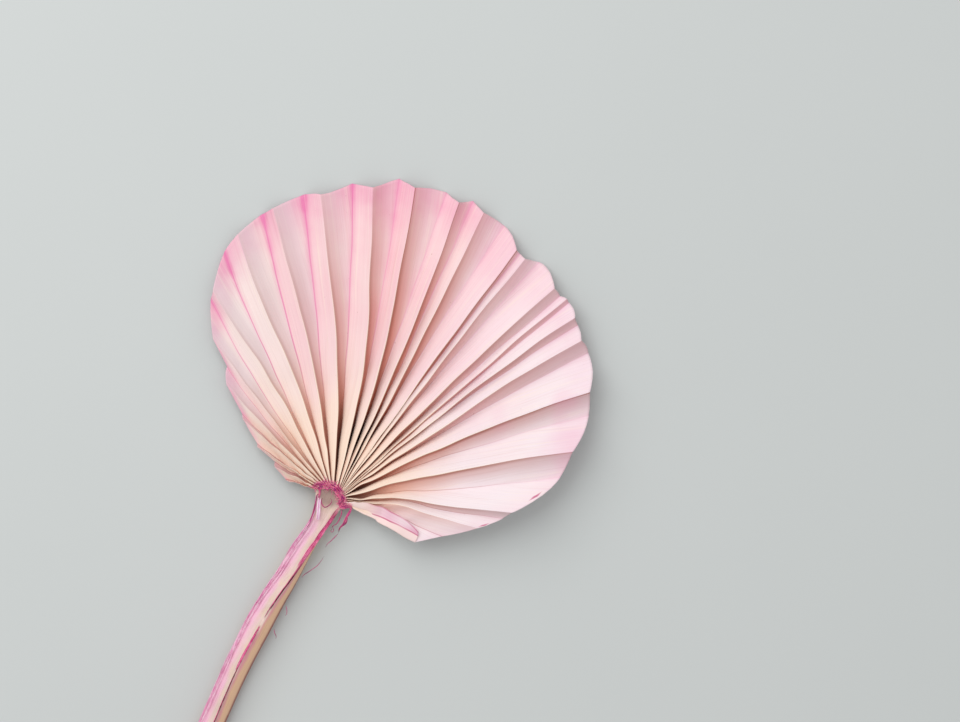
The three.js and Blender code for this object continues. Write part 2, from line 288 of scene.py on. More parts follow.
class Modelling(Graph):
    """A geometry tree with named inputs, which is run once on a host and leaves a plain mesh."""

    def __init__(self, name: str) -> None:
        """Starts a tree that takes and gives geometry."""
        super().__init__(bpy.data.node_groups.new(name, "GeometryNodeTree"))
        for way in ("INPUT", "OUTPUT"):
            self.tree.interface.new_socket("Geometry", in_out=way, socket_type="NodeSocketGeometry")
        self._entry = self.node("NodeGroupInput")
        self._exit = self.node("NodeGroupOutput")
        self._material: bpy.types.Material | None = None
        self.host = self._entry.outputs[0]

    def size(self, name: str, kind: Kind = Kind.LENGTH) -> Number:
        """Returns a new named input of the tree."""
        self.tree.interface.new_socket(name, in_out="INPUT", socket_type=kind.value)
        return Number(self, self.named(self._entry.outputs, name))

    def made(self, kind: str, inputs: dict | None = None, **settings: str) -> bpy.types.NodeSocket:
        """Returns the first output of a new geometry node."""
        return self.node("GeometryNode" + kind, settings, inputs).outputs[0]

    def position(self) -> Triple:
        """Returns the place of each point."""
        return Triple(self, self.made("InputPosition"))

    def along(self) -> Number:
        """Returns each point's share of the way along its curve."""
        return Number(self, self.made("SplineParameter"))

    def stored(self, name: str) -> Triple:
        """Returns a vector attribute of the geometry."""
        return Triple(self, self.made("InputNamedAttribute", {"Name": name}, data_type="FLOAT_VECTOR"))

    def store(self, geometry: Source, name: str, value: Source) -> bpy.types.NodeSocket:
        """Returns the geometry with a vector attribute stored on its points."""
        inputs = {"Geometry": geometry, "Name": name, "Value": value}
        return self.made("StoreNamedAttribute", inputs, data_type="FLOAT_VECTOR")

    def sample(self, value: Source, index: Source) -> Triple:
        """Returns a vector of the host's point with the index."""
        inputs = {"Geometry": self.host, "Value": value, "Index": index}
        return Triple(self, self.made("SampleIndex", inputs, data_type="FLOAT_VECTOR"))

    def chance(self, low: float, high: float, seed: int, of: Source | None = None) -> Number:
        """Returns a random number for each element, or for each value of an index."""
        inputs = {"Min": low, "Max": high, "Seed": seed} | ({} if of is None else {"ID": of})
        node = self.node("FunctionNodeRandomValue", {"data_type": "FLOAT"}, inputs)
        return Number(self, self.named(node.outputs, "Value"))

    def moved(self, geometry: Source, offset: Source) -> bpy.types.NodeSocket:
        """Returns the geometry with its points moved by an offset."""
        return self.made("SetPosition", {"Geometry": geometry, "Offset": offset})

    def tubes(self, curves: Source, sides: int, radius: Source) -> bpy.types.NodeSocket:
        """Returns closed tubes along curves."""
        profile = self.made("CurvePrimitiveCircle", {"Resolution": sides, "Radius": 1.0})
        inputs = {"Curve": curves, "Profile Curve": profile, "Fill Caps": True, "Scale": radius}
        return self.made("CurveToMesh", inputs)

    def finish(self, geometry: Source, material: bpy.types.Material) -> None:
        """Ends the tree: real meshes, shaded smooth, in one material."""
        real = self.made("RealizeInstances", {"Geometry": geometry})
        smooth = self.made("SetShadeSmooth", {"Geometry": real})
        dressed = self.made("SetMaterial", {"Geometry": smooth, "Material": material})
        self.feed(self._exit.inputs[0], dressed)
        self._material = material

    def run(
        self, name: str, host: bpy.types.Mesh, sizes: dict[str, float], wall: float = 0.0
    ) -> bpy.types.Object:
        """Runs the tree on a host mesh.

        Args:
            name: The finished piece's name.
            host: The mesh that carries the points and attributes that the tree reads.
            sizes: Values of the named inputs.
            wall: Thickness in metres that an open sheet is given under its face, or 0.

        Returns:
            The piece, a plain mesh with no modifier.
        """
        piece = placed(name, host)
        modifier = piece.modifiers.new("tree", "NODES")
        modifier.node_group = self.tree
        for item in self.tree.interface.items_tree:
            if item.in_out == "INPUT" and item.name in sizes:
                modifier[item.identifier] = sizes[item.name]
        if wall:
            solidify = piece.modifiers.new("wall", "SOLIDIFY")
            solidify.thickness, solidify.offset = wall, -1.0
        graph = bpy.context.evaluated_depsgraph_get()
        mesh = bpy.data.meshes.new_from_object(
            piece.evaluated_get(graph), preserve_all_data_layers=True, depsgraph=graph
        )
        mesh.name = name
        mesh.materials.clear()
        mesh.materials.append(self._material)
        mesh.polygons.foreach_set("material_index", np.zeros(len(mesh.polygons), np.int32))
        piece.modifiers.clear()
        piece.data = mesh
        return piece


class Dressing(Graph):
    """A material under construction, whose textures feed one Principled shader."""

    def __init__(self, name: str, ground: Colour, **sockets: Source) -> None:
        """Starts a material.

        Args:
            name: The finish's name.
            ground: The colour under all coats.
            **sockets: Values of the shader's sockets that are the same all over, with _ for a space.
        """
        self.material = bpy.data.materials.new(name)
        self.material.use_nodes = True
        super().__init__(self.material.node_tree)
        self._shader = self.tree.nodes["Principled BSDF"]
        self.colour: Source = linear(*ground)
        for socket, value in sockets.items():
            self.paint(socket.replace("_", " "), value)

    def paint(self, socket: str, value: Source) -> None:
        """Feeds one of the shader's sockets."""
        self.feed(self._shader.inputs[socket], value)

    def coat(self, share: Source, tone: Colour) -> None:
        """Lays a colour over the coats so far, by a share of 0 to 1."""
        self.colour = self.blend(share, self.colour, linear(*tone))

    def dress(self, roughness: Source, relief: Source, depth: float) -> bpy.types.Material:
        """Returns the finished material.

        Args:
            roughness: Roughness of the surface.
            relief: Height of its fine relief.
            depth: The relief's full height in metres.

        Returns:
            The material, with its coats as the base colour.
        """
        self.paint("Base Color", self.colour)
        self.paint("Roughness", roughness)
        self.relief(relief, depth)
        return self.material

    def attribute(self, name: str) -> Triple:
        """Returns a vector attribute of the piece."""
        return Triple(self, self.node("ShaderNodeAttribute", {"attribute_name": name}).outputs["Vector"])

    def place(self) -> Triple:
        """Returns the place on the piece in metres."""
        return Triple(self, self.node("ShaderNodeTexCoord").outputs["Object"])

    def relief(self, height: Source, depth: float) -> None:
        """Gives the surface a fine relief, whose full height is depth in metres."""
        inputs = {"Strength": 1.0, "Distance": depth, "Height": height}
        self.paint("Normal", self.node("ShaderNodeBump", {}, inputs).outputs[0])


def placed(name: str, data: bpy.types.ID) -> bpy.types.Object:
    """Returns a new object in the scene, at the origin."""
    thing = bpy.data.objects.new(name, data)
    bpy.context.scene.collection.objects.link(thing)
    return thing


def piece_of(mesh: bpy.types.Mesh, material: bpy.types.Material) -> bpy.types.Object:
    """Returns a new object of a mesh, at the origin, in one material."""
    mesh.materials.append(material)
    return placed(mesh.name, mesh)


def note(mesh: bpy.types.Mesh, name: str, vectors: np.ndarray) -> None:
    """Stores a vector attribute on a mesh's points."""
    layer = mesh.attributes.new(name, "FLOAT_VECTOR", "POINT")
    layer.data.foreach_set("vector", vectors.astype(np.float32).ravel())


def path_mesh(name: str, lines: Sequence[np.ndarray], **attributes: Sequence[np.ndarray]) -> bpy.types.Mesh:
    """Makes a host mesh of open lines.

    Args:
        name: The mesh's name.
        lines: For each line its points, in millimetres from the hub.
        **attributes: For each attribute name, one array of vectors a line.

    Returns:
        The mesh, points and edges alone.
    """
    counts = [len(line) for line in lines]
    starts = np.cumsum([0, *counts[:-1]])
    edges = [(s + i, s + i + 1) for s, n in zip(starts.tolist(), counts) for i in range(n - 1)]
    mesh = bpy.data.meshes.new(name)
    mesh.from_pydata(in_frame(np.concatenate(lines)).tolist(), edges, [])
    for key, values in attributes.items():
        note(mesh, key, np.concatenate(values))
    return mesh


def ring_mesh(name: str, rings: np.ndarray, skin: np.ndarray) -> bpy.types.Mesh:
    """Makes a closed tube through rings of points.

    Args:
        name: The mesh's name.
        rings: Places in millimetres from the hub, as (ring, point, 3), anticlockwise seen from ahead.
        skin: The vector attribute "skin" of each point, in the same layout.

    Returns:
        The mesh, with a fan over each end.
    """
    count, around = rings.shape[:2]
    place = np.arange(count * around).reshape(count, around)
    after = np.roll(place, -1, axis=1)
    quads = np.stack([place[:-1], after[:-1], after[1:], place[1:]], axis=-1).reshape(-1, 4)
    first, last = count * around, count * around + 1
    caps = [(first, int(b), int(a)) for a, b in zip(place[0], after[0])]
    caps += [(last, int(a), int(b)) for a, b in zip(place[-1], after[-1])]
    points = np.concatenate([rings.reshape(-1, 3), rings[:1].mean(axis=1), rings[-1:].mean(axis=1)])
    mesh = bpy.data.meshes.new(name)
    mesh.from_pydata(in_frame(points).tolist(), [], [*quads.tolist(), *caps])
    ends = [skin[:1].mean(axis=1), skin[-1:].mean(axis=1)]
    note(mesh, "skin", np.concatenate([skin.reshape(-1, 3), *ends]))
    mesh.shade_smooth()
    return mesh


@dataclass(frozen=True)
class BladeFinish:
    """Dried blade: cream at the hub, blush beyond, dyed deeper along valleys and rim, lilac on its right."""

    hub: Colour = (248, 221, 199)
    blush: Colour = (249, 231, 227)
    wash: Colour = (245, 192, 203)
    dye: Colour = (234, 122, 176)
    lilac: Colour = (247, 234, 239)
    # Cream is the blade's own pale tone, and on the ridge crests partly a painted highlight.
    cream: Colour = (252, 236, 214)
    strip: Colour = (252, 226, 222)
    # Salmon tints streaks, and is also painted shade on the panels that face away from the light.
    salmon: Colour = (222, 142, 122)
    # Brown is painted shadow beside each ridge, and painted shade in the valleys and between the pleats near
    # the hub.
    brown: Colour = (158, 78, 54)
    # Near-black painted shadow deep between the pleats at the hub.
    gap: Colour = (24, 4, 1)
    # Grey painted shade on the right's panels that face away from the light, and lavender-grey on the left's.
    right_shade: Colour = (200, 158, 162)
    left_shade_tone: Colour = (224, 208, 216)
    speck: Colour = (150, 96, 70)
    nick: Colour = (196, 62, 118)
    vein_depth: float = 0.1 * MM

    def material(self) -> bpy.types.Material:
        """Returns the blade's material."""
        skin = BladeSkin(self)
        skin.lay_ground()
        skin.lay_dye()
        skin.lay_shade()
        skin.lay_folds()
        skin.lay_hub()
        skin.lay_flap()
        skin.lay_marks()
        return skin.dress(0.5 + skin.streak * 0.25, skin.fine * 0.6 + skin.streak * 0.6, self.vein_depth)


class BladeSkin(Dressing):
    """The blade's material under construction, which follows the folds by the sheet's attributes.

    Attributes:
        from_ridge: Distance from the panel's ridge in millimetres.
        from_valley: Distance from its valley.
        panel: The panel's number, clockwise.
        radius: Distance from the hub in millimetres.
        share: Share of the way from the hub to the rim.
        bearing: Bearing in degrees.
        dye: Share of pink dye of the nearest fold.
        ridge_shadow: Depth of the painted shadow beside the ridge.
        shaded: 1 on panels that fall away clockwise of their ridge, 0 on the others.
        narrow: 1 on the narrow panels at the lower left.
        deep: 1 at the middle of the hub, where the pleats are deepest, falling off to both sides.
        deepest: The same, over fewer pleats.
        cloud: Broad unevenness, about 0.5.
        streak: Streaks along the panels, about 0.5.
        fine: Fine veins along the panels, about 0.5.
    """

    NICKS = ((62.0, 0.975), (73.0, 0.985))
    FLAP_PANEL = 48.5
    TURNED_PANEL = 47.5

    def __init__(self, tones: BladeFinish) -> None:
        """Starts the material and reads the attributes pleat, place and tint."""
        super().__init__("dyed dried blade", tones.hub, Specular_IOR_Level=0.3)
        self.tones = tones
        pleat, place, tint = (self.attribute(name) for name in ("pleat", "place", "tint"))
        self.from_ridge, self.from_valley, panel = (pleat.part(i) for i in range(3))
        self.radius, self.share, self.bearing = (place.part(i) for i in range(3))
        self.dye, self.ridge_shadow = tint.part(0), tint.part(2)
        self.panel = (panel + 0.001).apply("FLOOR")
        self.shaded = 1 - (self.panel * 0.5).apply("FRACT") * 2
        self.narrow = self.bearing.step(-48, -72)
        off_middle = (self.bearing + 8).apply("ABSOLUTE")
        self.deep, self.deepest = off_middle.step(46, 6), off_middle.step(34, 2)
        self.cloud = self.noise(self.place(), 30.0, 3.0, 0.6)
        grown = self.vector(self.from_ridge * 1.1, self.radius * 0.012, self.panel * 3.7)
        self.streak = self.noise(grown, 1.0, 4.0, 0.62)
        veined = self.vector(self.from_ridge * 4.5, self.radius * 0.02, self.panel * 5.3)
        self.fine = self.noise(veined, 1.0, 2.0)

    def lay_ground(self) -> None:
        """Lays blush past the cream hub, a pink wash in the middle and lilac on the right."""
        tones, share, bearing = self.tones, self.share, self.bearing
        self.coat((self.radius + (self.cloud - 0.5) * 60).step(14, 98), tones.blush)
        middle = bearing.step(-58, -24) * bearing.step(70, -10) * share.step(0.12, 0.7)
        self.coat((middle * 0.6 + 0.05) * (0.2 + self.cloud * 1.4), tones.wash)
        patch = self.noise(self.place() + (0.3, 0.0, 0.7), 16.0, 2.0)
        lilac = bearing.step(-14, 26) * share.step(0.15, 0.6) * (0.3 + patch * 1.2)
        self.coat(lilac.apply("MINIMUM", 0.9), tones.lilac)
        kind = self.noise(self.vector(self.panel * 7.31, 2.0, 0.0), 1.0, 0.0) - 0.5
        self.coat(kind.step(0.0, 0.2) * 0.4 * share.step(0.1, 0.5) * bearing.step(50, 0), tones.wash)
        self.coat((kind * -1).step(0.0, 0.2) * 0.2, tones.cream)

    def lay_dye(self) -> None:
        """Lays the deeper dye along valleys and rim, then streaks and fine veins."""
        tones, share, bearing = self.tones, self.share, self.bearing
        band = self.from_valley.step(3.4, 0.0) * share.step(0.35, 1.0) * self.dye
        band = band * (0.15 + self.cloud * 0.8) * (1 - self.narrow * 0.8)
        rim = (share + (self.cloud - 0.5) * 0.14).step(0.8, 1.03)
        rim = rim * (0.36 + self.dye * 0.4) * (0.1 + self.cloud * 1.2)
        rim = rim * (0.45 + bearing.step(20, -25) * 0.55 + bearing.step(-35, -60) * 0.4)
        self.coat((band + rim).apply("MINIMUM", 0.9), tones.dye)
        self.coat((self.streak - 0.5).step(0.0, 0.25) * 0.4, tones.cream)
        self.coat((0.5 - self.streak).step(0.0, 0.25) * 0.12, tones.salmon)
        self.coat((self.fine - 0.56).step(0.0, 0.14) * 0.14, tones.speck)

    def lay_shade(self) -> None:
        """Lays painted shade on the panels that face away from the light, and a painted shadow beside each
        ridge.
        """
        tones, share, bearing, shaded = self.tones, self.share, self.bearing, self.shaded
        # Lavender-grey painted shade on the left's panels that face away from the light.
        left_shade = shaded * bearing.step(-18, -40) * share.step(0.25, 0.6) * self.from_ridge.step(16.0, 4.0)
        self.coat(left_shade * 0.5, tones.left_shade_tone)
        # Grey painted shade on the right's panels that face away from the light, strongest near the ridge.
        right_shade = shaded * bearing.step(8, 24) * (0.55 + bearing.step(46, 36) * 0.45) * share.step(0.35, 0.8)
        self.coat(right_shade * self.from_ridge.step(26.0, 2.0) * 0.5, tones.right_shade)
        # Salmon painted shade on those panels, strongest near the ridge and towards the hub.
        salmon_shade = shaded * self.from_ridge.step(11.0, 0.0) * share.step(1.3, 0.35)
        salmon_shade = salmon_shade * (0.25 + bearing.step(10, 30) * 0.3 + self.deep * 0.75) * (1 - self.narrow * 0.6)
        self.coat((salmon_shade * (0.55 + self.ridge_shadow * 0.5)).apply("MINIMUM", 0.85), tones.salmon)
        # Brown painted shadow in a band along the clockwise side of each ridge, darkest at its edge.
        under = shaded * self.from_ridge.step(2.6, 0.1) * share.step(1.15, 0.4) * self.ridge_shadow
        edge = shaded * self.from_ridge.step(0.9, 0.2) * self.ridge_shadow.step(0.5, 1.0) * 0.8
        self.coat(under.apply("MAXIMUM", edge), tones.brown)

    def lay_folds(self) -> None:
        """Lays a dyed and a brown painted-shade line in each valley, and a pale crest with painted highlight
        on each ridge.
        """
        tones, share = self.tones, self.share
        self.coat(self.from_valley.step(0.6, 0.15) * self.dye * share.step(0.25, 0.55) * 0.7, tones.dye)
        # A brown line of painted shade in each valley near the hub, darker beside a shaded panel.
        line = self.from_valley.step(0.5, 0.1) * self.radius.step(120, 40)
        self.coat(line * (0.25 + self.shaded * 0.35), tones.brown)
        # The ridge's own pale crest, kept brighter on the side facing the light as painted highlight.
        crest = self.from_ridge.step(0.65, 0.25) * share.step(0.95, 0.2) * (1 - self.shaded * 0.5)
        self.coat(crest * 0.75, tones.cream)

    def lay_hub(self) -> None:
        """Lays painted shade between the pleats near the hub: salmon, brown and, deepest in, black."""
        tones, radius = self.tones, self.radius
        # Painted shade lies on the panels that face away from the light, from just past their ridge.
        hollow = self.shaded * self.from_ridge.step(0.05, 0.35)
        deep_ridge_shadow = self.ridge_shadow * self.ridge_shadow * 0.7
        right = self.bearing.step(20, 38)
        # Salmon painted shade on those panels towards the hub, less on the narrow left panels and the far
        # right.
        hub_shade = 0.4 - self.narrow * 0.25 - self.bearing.step(30, 50) * 0.2
        self.coat(self.shaded * radius.step(85, 25) * hub_shade, tones.salmon)
        # Brown painted shade between the pleats near the hub, then near-black painted shadow deepest in.
        brown = self.mixed(right, radius.step(86, 32), radius.step(36, 14))
        self.coat((hollow * (self.deep * 0.8 + deep_ridge_shadow) * brown).apply("MINIMUM", 1.0), tones.brown)
        gap = self.mixed(right, radius.step(60, 28), radius.step(27, 13))
        self.coat((hollow * (self.deepest + deep_ridge_shadow) * gap).apply("MINIMUM", 1.0), tones.gap)

    def lay_flap(self) -> None:
        """Lays dye stains on the right and the pale, pink-edged strip of the folded-back flap."""
        tones, cloud = self.tones, self.cloud
        stain = self.noise(self.place() + (0.1, 0.2, 0.0), 24.0, 2.0).step(0.52, 0.72)
        self.coat(stain * self.share.step(0.3, 0.8) * self.bearing.step(-20, 40) * 0.2, tones.dye)
        flap, turned = (self.panel.step(at - 0.2, at + 0.2) for at in (self.FLAP_PANEL, self.TURNED_PANEL))
        beyond = self.radius.step(15, 26)
        self.coat((turned - flap * beyond) * (0.5 + cloud * 0.6), tones.strip)
        self.coat(flap * beyond * (cloud * 1.1 - 0.25), tones.dye)
        self.coat(flap * beyond * self.from_ridge.step(0.9, 0.1) * (cloud * 1.6 - 0.2), tones.nick)
        self.coat(turned * beyond * self.from_valley.step(0.6, 0.15) * (cloud * 2.4 - 0.5), tones.nick)

    def lay_marks(self) -> None:
        """Lays fine specks and the two nicks at the rim."""
        self.coat(self.noise(self.place(), 620.0, 1.0).step(0.79, 0.83) * 0.4, self.tones.speck)
        for bearing, share in self.NICKS:
            off = (self.bearing - bearing).apply("ABSOLUTE") + (self.share - share).apply("ABSOLUTE") * 120
            self.coat((off + self.cloud * 1.5).step(2.4, 1.2) * 0.8, self.tones.nick)


@dataclass(frozen=True)
class Fold:
    """One fold of the blade, from its foot at the hub to its tip at the rim.

    Ridges and valleys take turns clockwise from the blade's left edge, a ridge first.

    Attributes:
        bearing: Bearing of the tip in degrees.
        reach: Distance of the tip from the hub.
        bow: Clockwise bow at mid length.
        swell: Swell of the rim between this fold and the next.
        lift: Height at the rim above the floor of the blade.
        dye: Share of pink dye along the fold.
        ridge_shadow: Depth of the painted shadow clockwise of a ridge; it also steepens the panel's fall
            there.
        droop: How far the panel after this fold falls close to its ridge, above 1, or to its valley, below 1.
    """

    bearing: float
    reach: float
    bow: float
    swell: float
    lift: float
    dye: float
    ridge_shadow: float = 0.4
    droop: float = 1.2


@dataclass
class Blade:
    """The pleated blade: a sheet hung between its folds, with a folded-back flap at its lower right edge."""

    finish: BladeFinish = BladeFinish()
    foot_radius: float = 9.1
    foot_tuck: float = 1.0
    foot_height: float = 5.5
    foot_pleat: float = 2.6
    foot_flare: float = 0.8
    foot_jitter: float = 0.7
    pleat_growth: float = 0.45
    flat_from: float = 66.0
    solid_wall: float = 0.7
    solid_steepest: tuple[float, float] = (2.0, 6.0)
    steepest: tuple[float, float] = (3.0, 12.0)
    cup_right: tuple[float, float, float] = (12.0, 95.0, 0.27)
    cup_left: tuple[float, float, float] = (35.0, 100.0, 0.1)
    cup_radii: tuple[float, float] = (10.0, 42.0)
    rows: int = 112
    columns: int = 8
    wall: float = 0.3
    ridge_round: float = 0.25
    valley_round: float = 0.45
    wander: float = 0.7
    wander_seed: int = 7
    ripple: float = 1.1
    ripple_grain: float = 38.0
    rough: float = 0.9
    rough_grain: float = 260.0
    belly: tuple[float, float] = (0.012, 0.035)
    shaded_droop: float = 1.3
    hub_droop: float = 0.22
    lean: float = 0.62
    lean_radii: tuple[float, float] = (34.0, 140.0)
    lean_until: float = 35.0
    lean_beyond: float = 0.05

    FEET = SmoothLine(((0, -84), (17, -18), (19, -5), (21, 8), (23, 18), (39, 46), (43, 58), (50, 80)))
    BENDS = SmoothLine((
        (38, 0), (41, -0.8), (43, -1.3), (44, -2.0), (45, -2.8), (46, -2.4), (47, -1.2), (48, 0),
    ))
    BEND_RADII = (32.0, 17.0)
    KINKS = SmoothLine((
        (36, 0), (38, -0.4), (39, -0.6), (40, -0.9), (41, 0.5), (42, 0.5), (43, 1.2), (44, 0.9), (46, 0),
    ))
    KINK_RADII = (10.0, 6.0)
    FLAP_FROM = 47
    FOLDS = tuple(Fold(*row) for row in (
        (-102, 28.6, 0, 0, 1.5, 0.2), (-99, 29.7, 0, 0, 0, 0.3),
        (-95, 35.8, 0, 0.5, 3, 0.2), (-89.4, 38.6, 0, 0, 0, 0.3),
        (-87.4, 49.3, 0, 0, 3, 0.25), (-85, 52, -0.5, 0.5, 0, 0.3),
        (-81, 61.6, -0.5, 0.5, 3.5, 0.25), (-77.2, 69, -1, 0, 0, 0.4),
        (-74.2, 84, -1.5, 1, 4, 0.2), (-68.2, 93.5, -2, 0, 0, 0.45),
        (-66.6, 109, -2.3, 1, 3, 0.3), (-60.7, 129, -2.8, 0, 0, 0.85),
        (-59, 133, -2.2, 1, 3.5, 0.35), (-52.7, 149.5, -2, 0.5, 0, 0.95),
        (-48.5, 155.7, -2.4, 0.5, 4.5, 0.35), (-42.8, 162.4, -0.5, 0, 0, 1.0),
        (-40.3, 164, 2.2, 0.5, 5.5, 0.6), (-34.2, 169, 0.6, 0.5, 0, 0.95),
        (-30.8, 168, 3.4, -0.8, 7, 0.4, 0.5), (-25, 174.7, 2.2, 0, 0, 0.85),
        (-21, 173, 4.6, 0, 8, 0.5, 0.6), (-16.7, 180.9, 3.5, 0, 0, 0.45),
        (-13.5, 177.5, 3.7, 1, 8, 0.5, 0.9), (-8, 180.3, 1.2, 0, 0, 0.3),
        (-5, 177, 2, 0, 7, 0.45, 0.8), (-3, 181.4, 1.5, 0, 1.5, 0.4),
        (-0.3, 178.1, 1, 0.6, 7, 0.35, 0.7), (4, 177.5, -1.6, 1.6, 0, 0.2),
        (8.5, 170.2, -1, 0, 8, 0.35, 0.9), (9.3, 169.5, -1, 0, 6, 0.3),
        (10.7, 169.1, -1.3, 0, 7.5, 0.35), (13.1, 173, -1.6, 2.5, 0.5, 0.2),
        (18.7, 168, -2.3, 0.5, 9, 0.3, 0.6), (20.5, 167.4, -1.6, 0.3, 5, 0.2),
        (21.6, 169, -0.8, 0, 6.5, 0.3), (22.5, 169, -1, 1, 5, 0.2),
        (25.4, 166.3, -2.8, 0, 9, 0.2, 0.6), (26.8, 165.2, -2.5, 0.5, 5.5, 0.2),
        (29.7, 161.8, -2.5, 1, 8, 0.2), (32.7, 161.8, -2.2, 2.2, 0.5, 0.15),
        (39.7, 152.9, -3.3, 0.5, 9, 0.15, 1.0), (44.5, 147.8, -3, 1.8, 0, 0.15),
        (51.3, 134.4, -2, 0.6, 8, 0.15, 0.85), (57.2, 125.4, 1.4, 3.6, 0, 0.15),
        (67.2, 98.5, -0.6, 0, 6.5, 0.15, 0.5), (69.6, 94, -0.4, 0.8, 0.5, 0.15),
        (74.5, 81.5, -0.8, 1, 1.8, 0.2, 0.1), (83, 63.5, -0.5, 0, 0, 0.2),
        (91.9, 51.7, 0, 0, 0.8, 0.1, 0), (87.4, 51.2, -0.8, 0, 1.8, 0.3, 0),
        (85.2, 50.7, -5.2, 0, 2.9, 0.8, 0),
    ))
    FLAP_FEET = (80.0, 77.4, 74.8)

    def _foot(self, index: int) -> Vector:
        """Returns the plan point where a fold starts, tucked under the arch of fibre."""
        past_flap = index - self.FLAP_FROM - 1
        spaced = self.FEET.at(index) + self.foot_jitter * math.sin(index * 2.4)
        bearing = self.FLAP_FEET[past_flap] if past_flap >= 0 else spaced
        flare = self.foot_flare * abs(bearing / 84) ** 3
        return Vector(ARCH_CENTRE) + polar(bearing, self.foot_radius - self.foot_tuck + flare)

    def _line(self, index: int, shares: np.ndarray) -> np.ndarray:
        """Returns the plan points of a fold at shares of its length."""
        fold = self.FOLDS[index]
        foot, tip = self._foot(index), polar(fold.bearing, fold.reach)
        run = tip - foot
        clockwise = np.array([run.y, -run.x]) / run.length
        points = np.outer(1 - shares, foot) + np.outer(shares, tip)
        bend = np.zeros(len(shares))
        for sizes, (middle, spread) in ((self.BENDS, self.BEND_RADII), (self.KINKS, self.KINK_RADII)):
            bend += sizes.at(index) * np.exp(-(((shares * run.length - middle) / spread) ** 2))
        bend *= np.minimum(shares * 12, 1)
        return points + np.outer(4 * shares * (1 - shares) * fold.bow + bend, clockwise)

    def _blend_by_radius(self, ends: tuple[float, float], radius: np.ndarray) -> np.ndarray:
        """Returns a value that goes from the second end at the feet to the first on the flat sheet."""
        share = np.clip((self.flat_from - radius) / (self.flat_from - self.foot_radius), 0, 1)
        return ends[0] + (ends[1] - ends[0]) * share

    def _floor(self, radius: np.ndarray, bearing: float) -> np.ndarray:
        """Returns the height of the face where no fold is, as high as the solid's near the hub."""
        start, end, slope = self.cup_right if bearing > 0 else self.cup_left
        descent = self.foot_height * (1 - eased(self.foot_radius, self.flat_from, radius))
        rise = radius * slope * eased(start, end, abs(bearing)) * eased(*self.cup_radii, radius)
        upright = self.solid_wall * np.hypot(1, self._blend_by_radius(self.solid_steepest, radius))
        upright -= self.solid_wall * math.hypot(1, self.solid_steepest[0])
        return np.maximum(descent, rise) + np.minimum(descent, rise) / 2 + upright + self.wall

    def fold_net(self) -> np.ndarray:
        """Returns the folds' points as (fold, row, 3), in millimetres from the hub."""
        shares = np.linspace(0, 1, self.rows)
        net = np.zeros((len(self.FOLDS), self.rows, 3))
        for index, fold in enumerate(self.FOLDS):
            plan = self._line(index, shares)
            ridge = index % 2 == 0
            growth = shares ** self.pleat_growth if ridge else shares
            depth = (self.foot_pleat if ridge else 0) * (1 - growth) + fold.lift * growth
            net[index, :, :2] = plan
            net[index, :, 2] = self._floor(np.hypot(*plan.T), fold.bearing) + depth
        for ridge in range(0, self.FLAP_FROM - 1, 2):
            self._lean_ridge(net, ridge)
        for valley in range(1, self.FLAP_FROM + 1, 2):
            self._limit_valley(net, valley)
        noise.seed_set(self.wander_seed)
        for index, row in np.ndindex(net.shape[:2]):
            wander = noise.noise_vector(Vector((index * 1.7, shares[row] ** 0.6 * 9.0, 3.0)))
            net[index, row] += np.array(wander) * self.wander * min(1, shares[row] * 8)
        net[:, :, 2] = np.maximum(net[:, :, 2], self.wall + 0.1)
        return net

    def _lean_ridge(self, net: np.ndarray, ridge: int) -> None:
        """Moves a ridge towards the valley after it near the hub, where the pleats lie over clockwise."""
        radius = np.hypot(*net[ridge, :, :2].T)
        share = self.lean * (1 - eased(*self.lean_radii, radius)) * (0.9 + 0.35 * math.sin(ridge * 2.3))
        if self.FOLDS[ridge].bearing > self.lean_until:
            share *= self.lean_beyond
        net[ridge, :, :2] += (net[ridge + 1, :, :2] - net[ridge, :, :2]) * share[:, None]

    def _limit_valley(self, net: np.ndarray, valley: int) -> None:
        """Raises a valley between close ridges, so that no panel is steeper than the sheet folds."""
        here = net[valley]
        radius = np.hypot(here[:, 0], here[:, 1])
        outward = here[:, :2] / radius[:, None]
        for side in (valley - 1, valley + 1):
            ridge = net[side]
            width = np.abs(outward[:, 0] * ridge[:, 1] - outward[:, 1] * ridge[:, 0])
            reach = width * self._blend_by_radius(self.steepest, radius)
            here[:, 2] = np.maximum(here[:, 2], ridge[:, 2] - reach)

    def _host(self) -> bpy.types.Mesh:
        """Returns the points of the folds, with each fold's dye and rim swell."""
        net = self.fold_net()
        tint = np.zeros_like(net)
        tint[:, :, 0] = np.array([fold.dye for fold in self.FOLDS])[:, None]
        tint[:, :, 1] = np.array([fold.swell for fold in self.FOLDS])[:, None]
        spread = eased(0.12, 0.6, np.linspace(0, 1, self.rows))
        for index, fold in enumerate(self.FOLDS):
            if index % 2:
                tint[index, :, 2] = self.hub_droop + (fold.droop - self.hub_droop) * spread
            else:
                tint[index, :, 2] = self.shaded_droop + fold.ridge_shadow
        # Each fold's depth of painted shadow, which the blade's material reads from the attribute edge.
        edge = np.zeros_like(net)
        edge[:, :, 0] = np.array([fold.ridge_shadow for fold in self.FOLDS])[:, None]
        mesh = bpy.data.meshes.new("folds")
        mesh.from_pydata(in_frame(net.reshape(-1, 3)).tolist(), [], [])
        note(mesh, "tint", tint)
        note(mesh, "edge", edge)
        return mesh

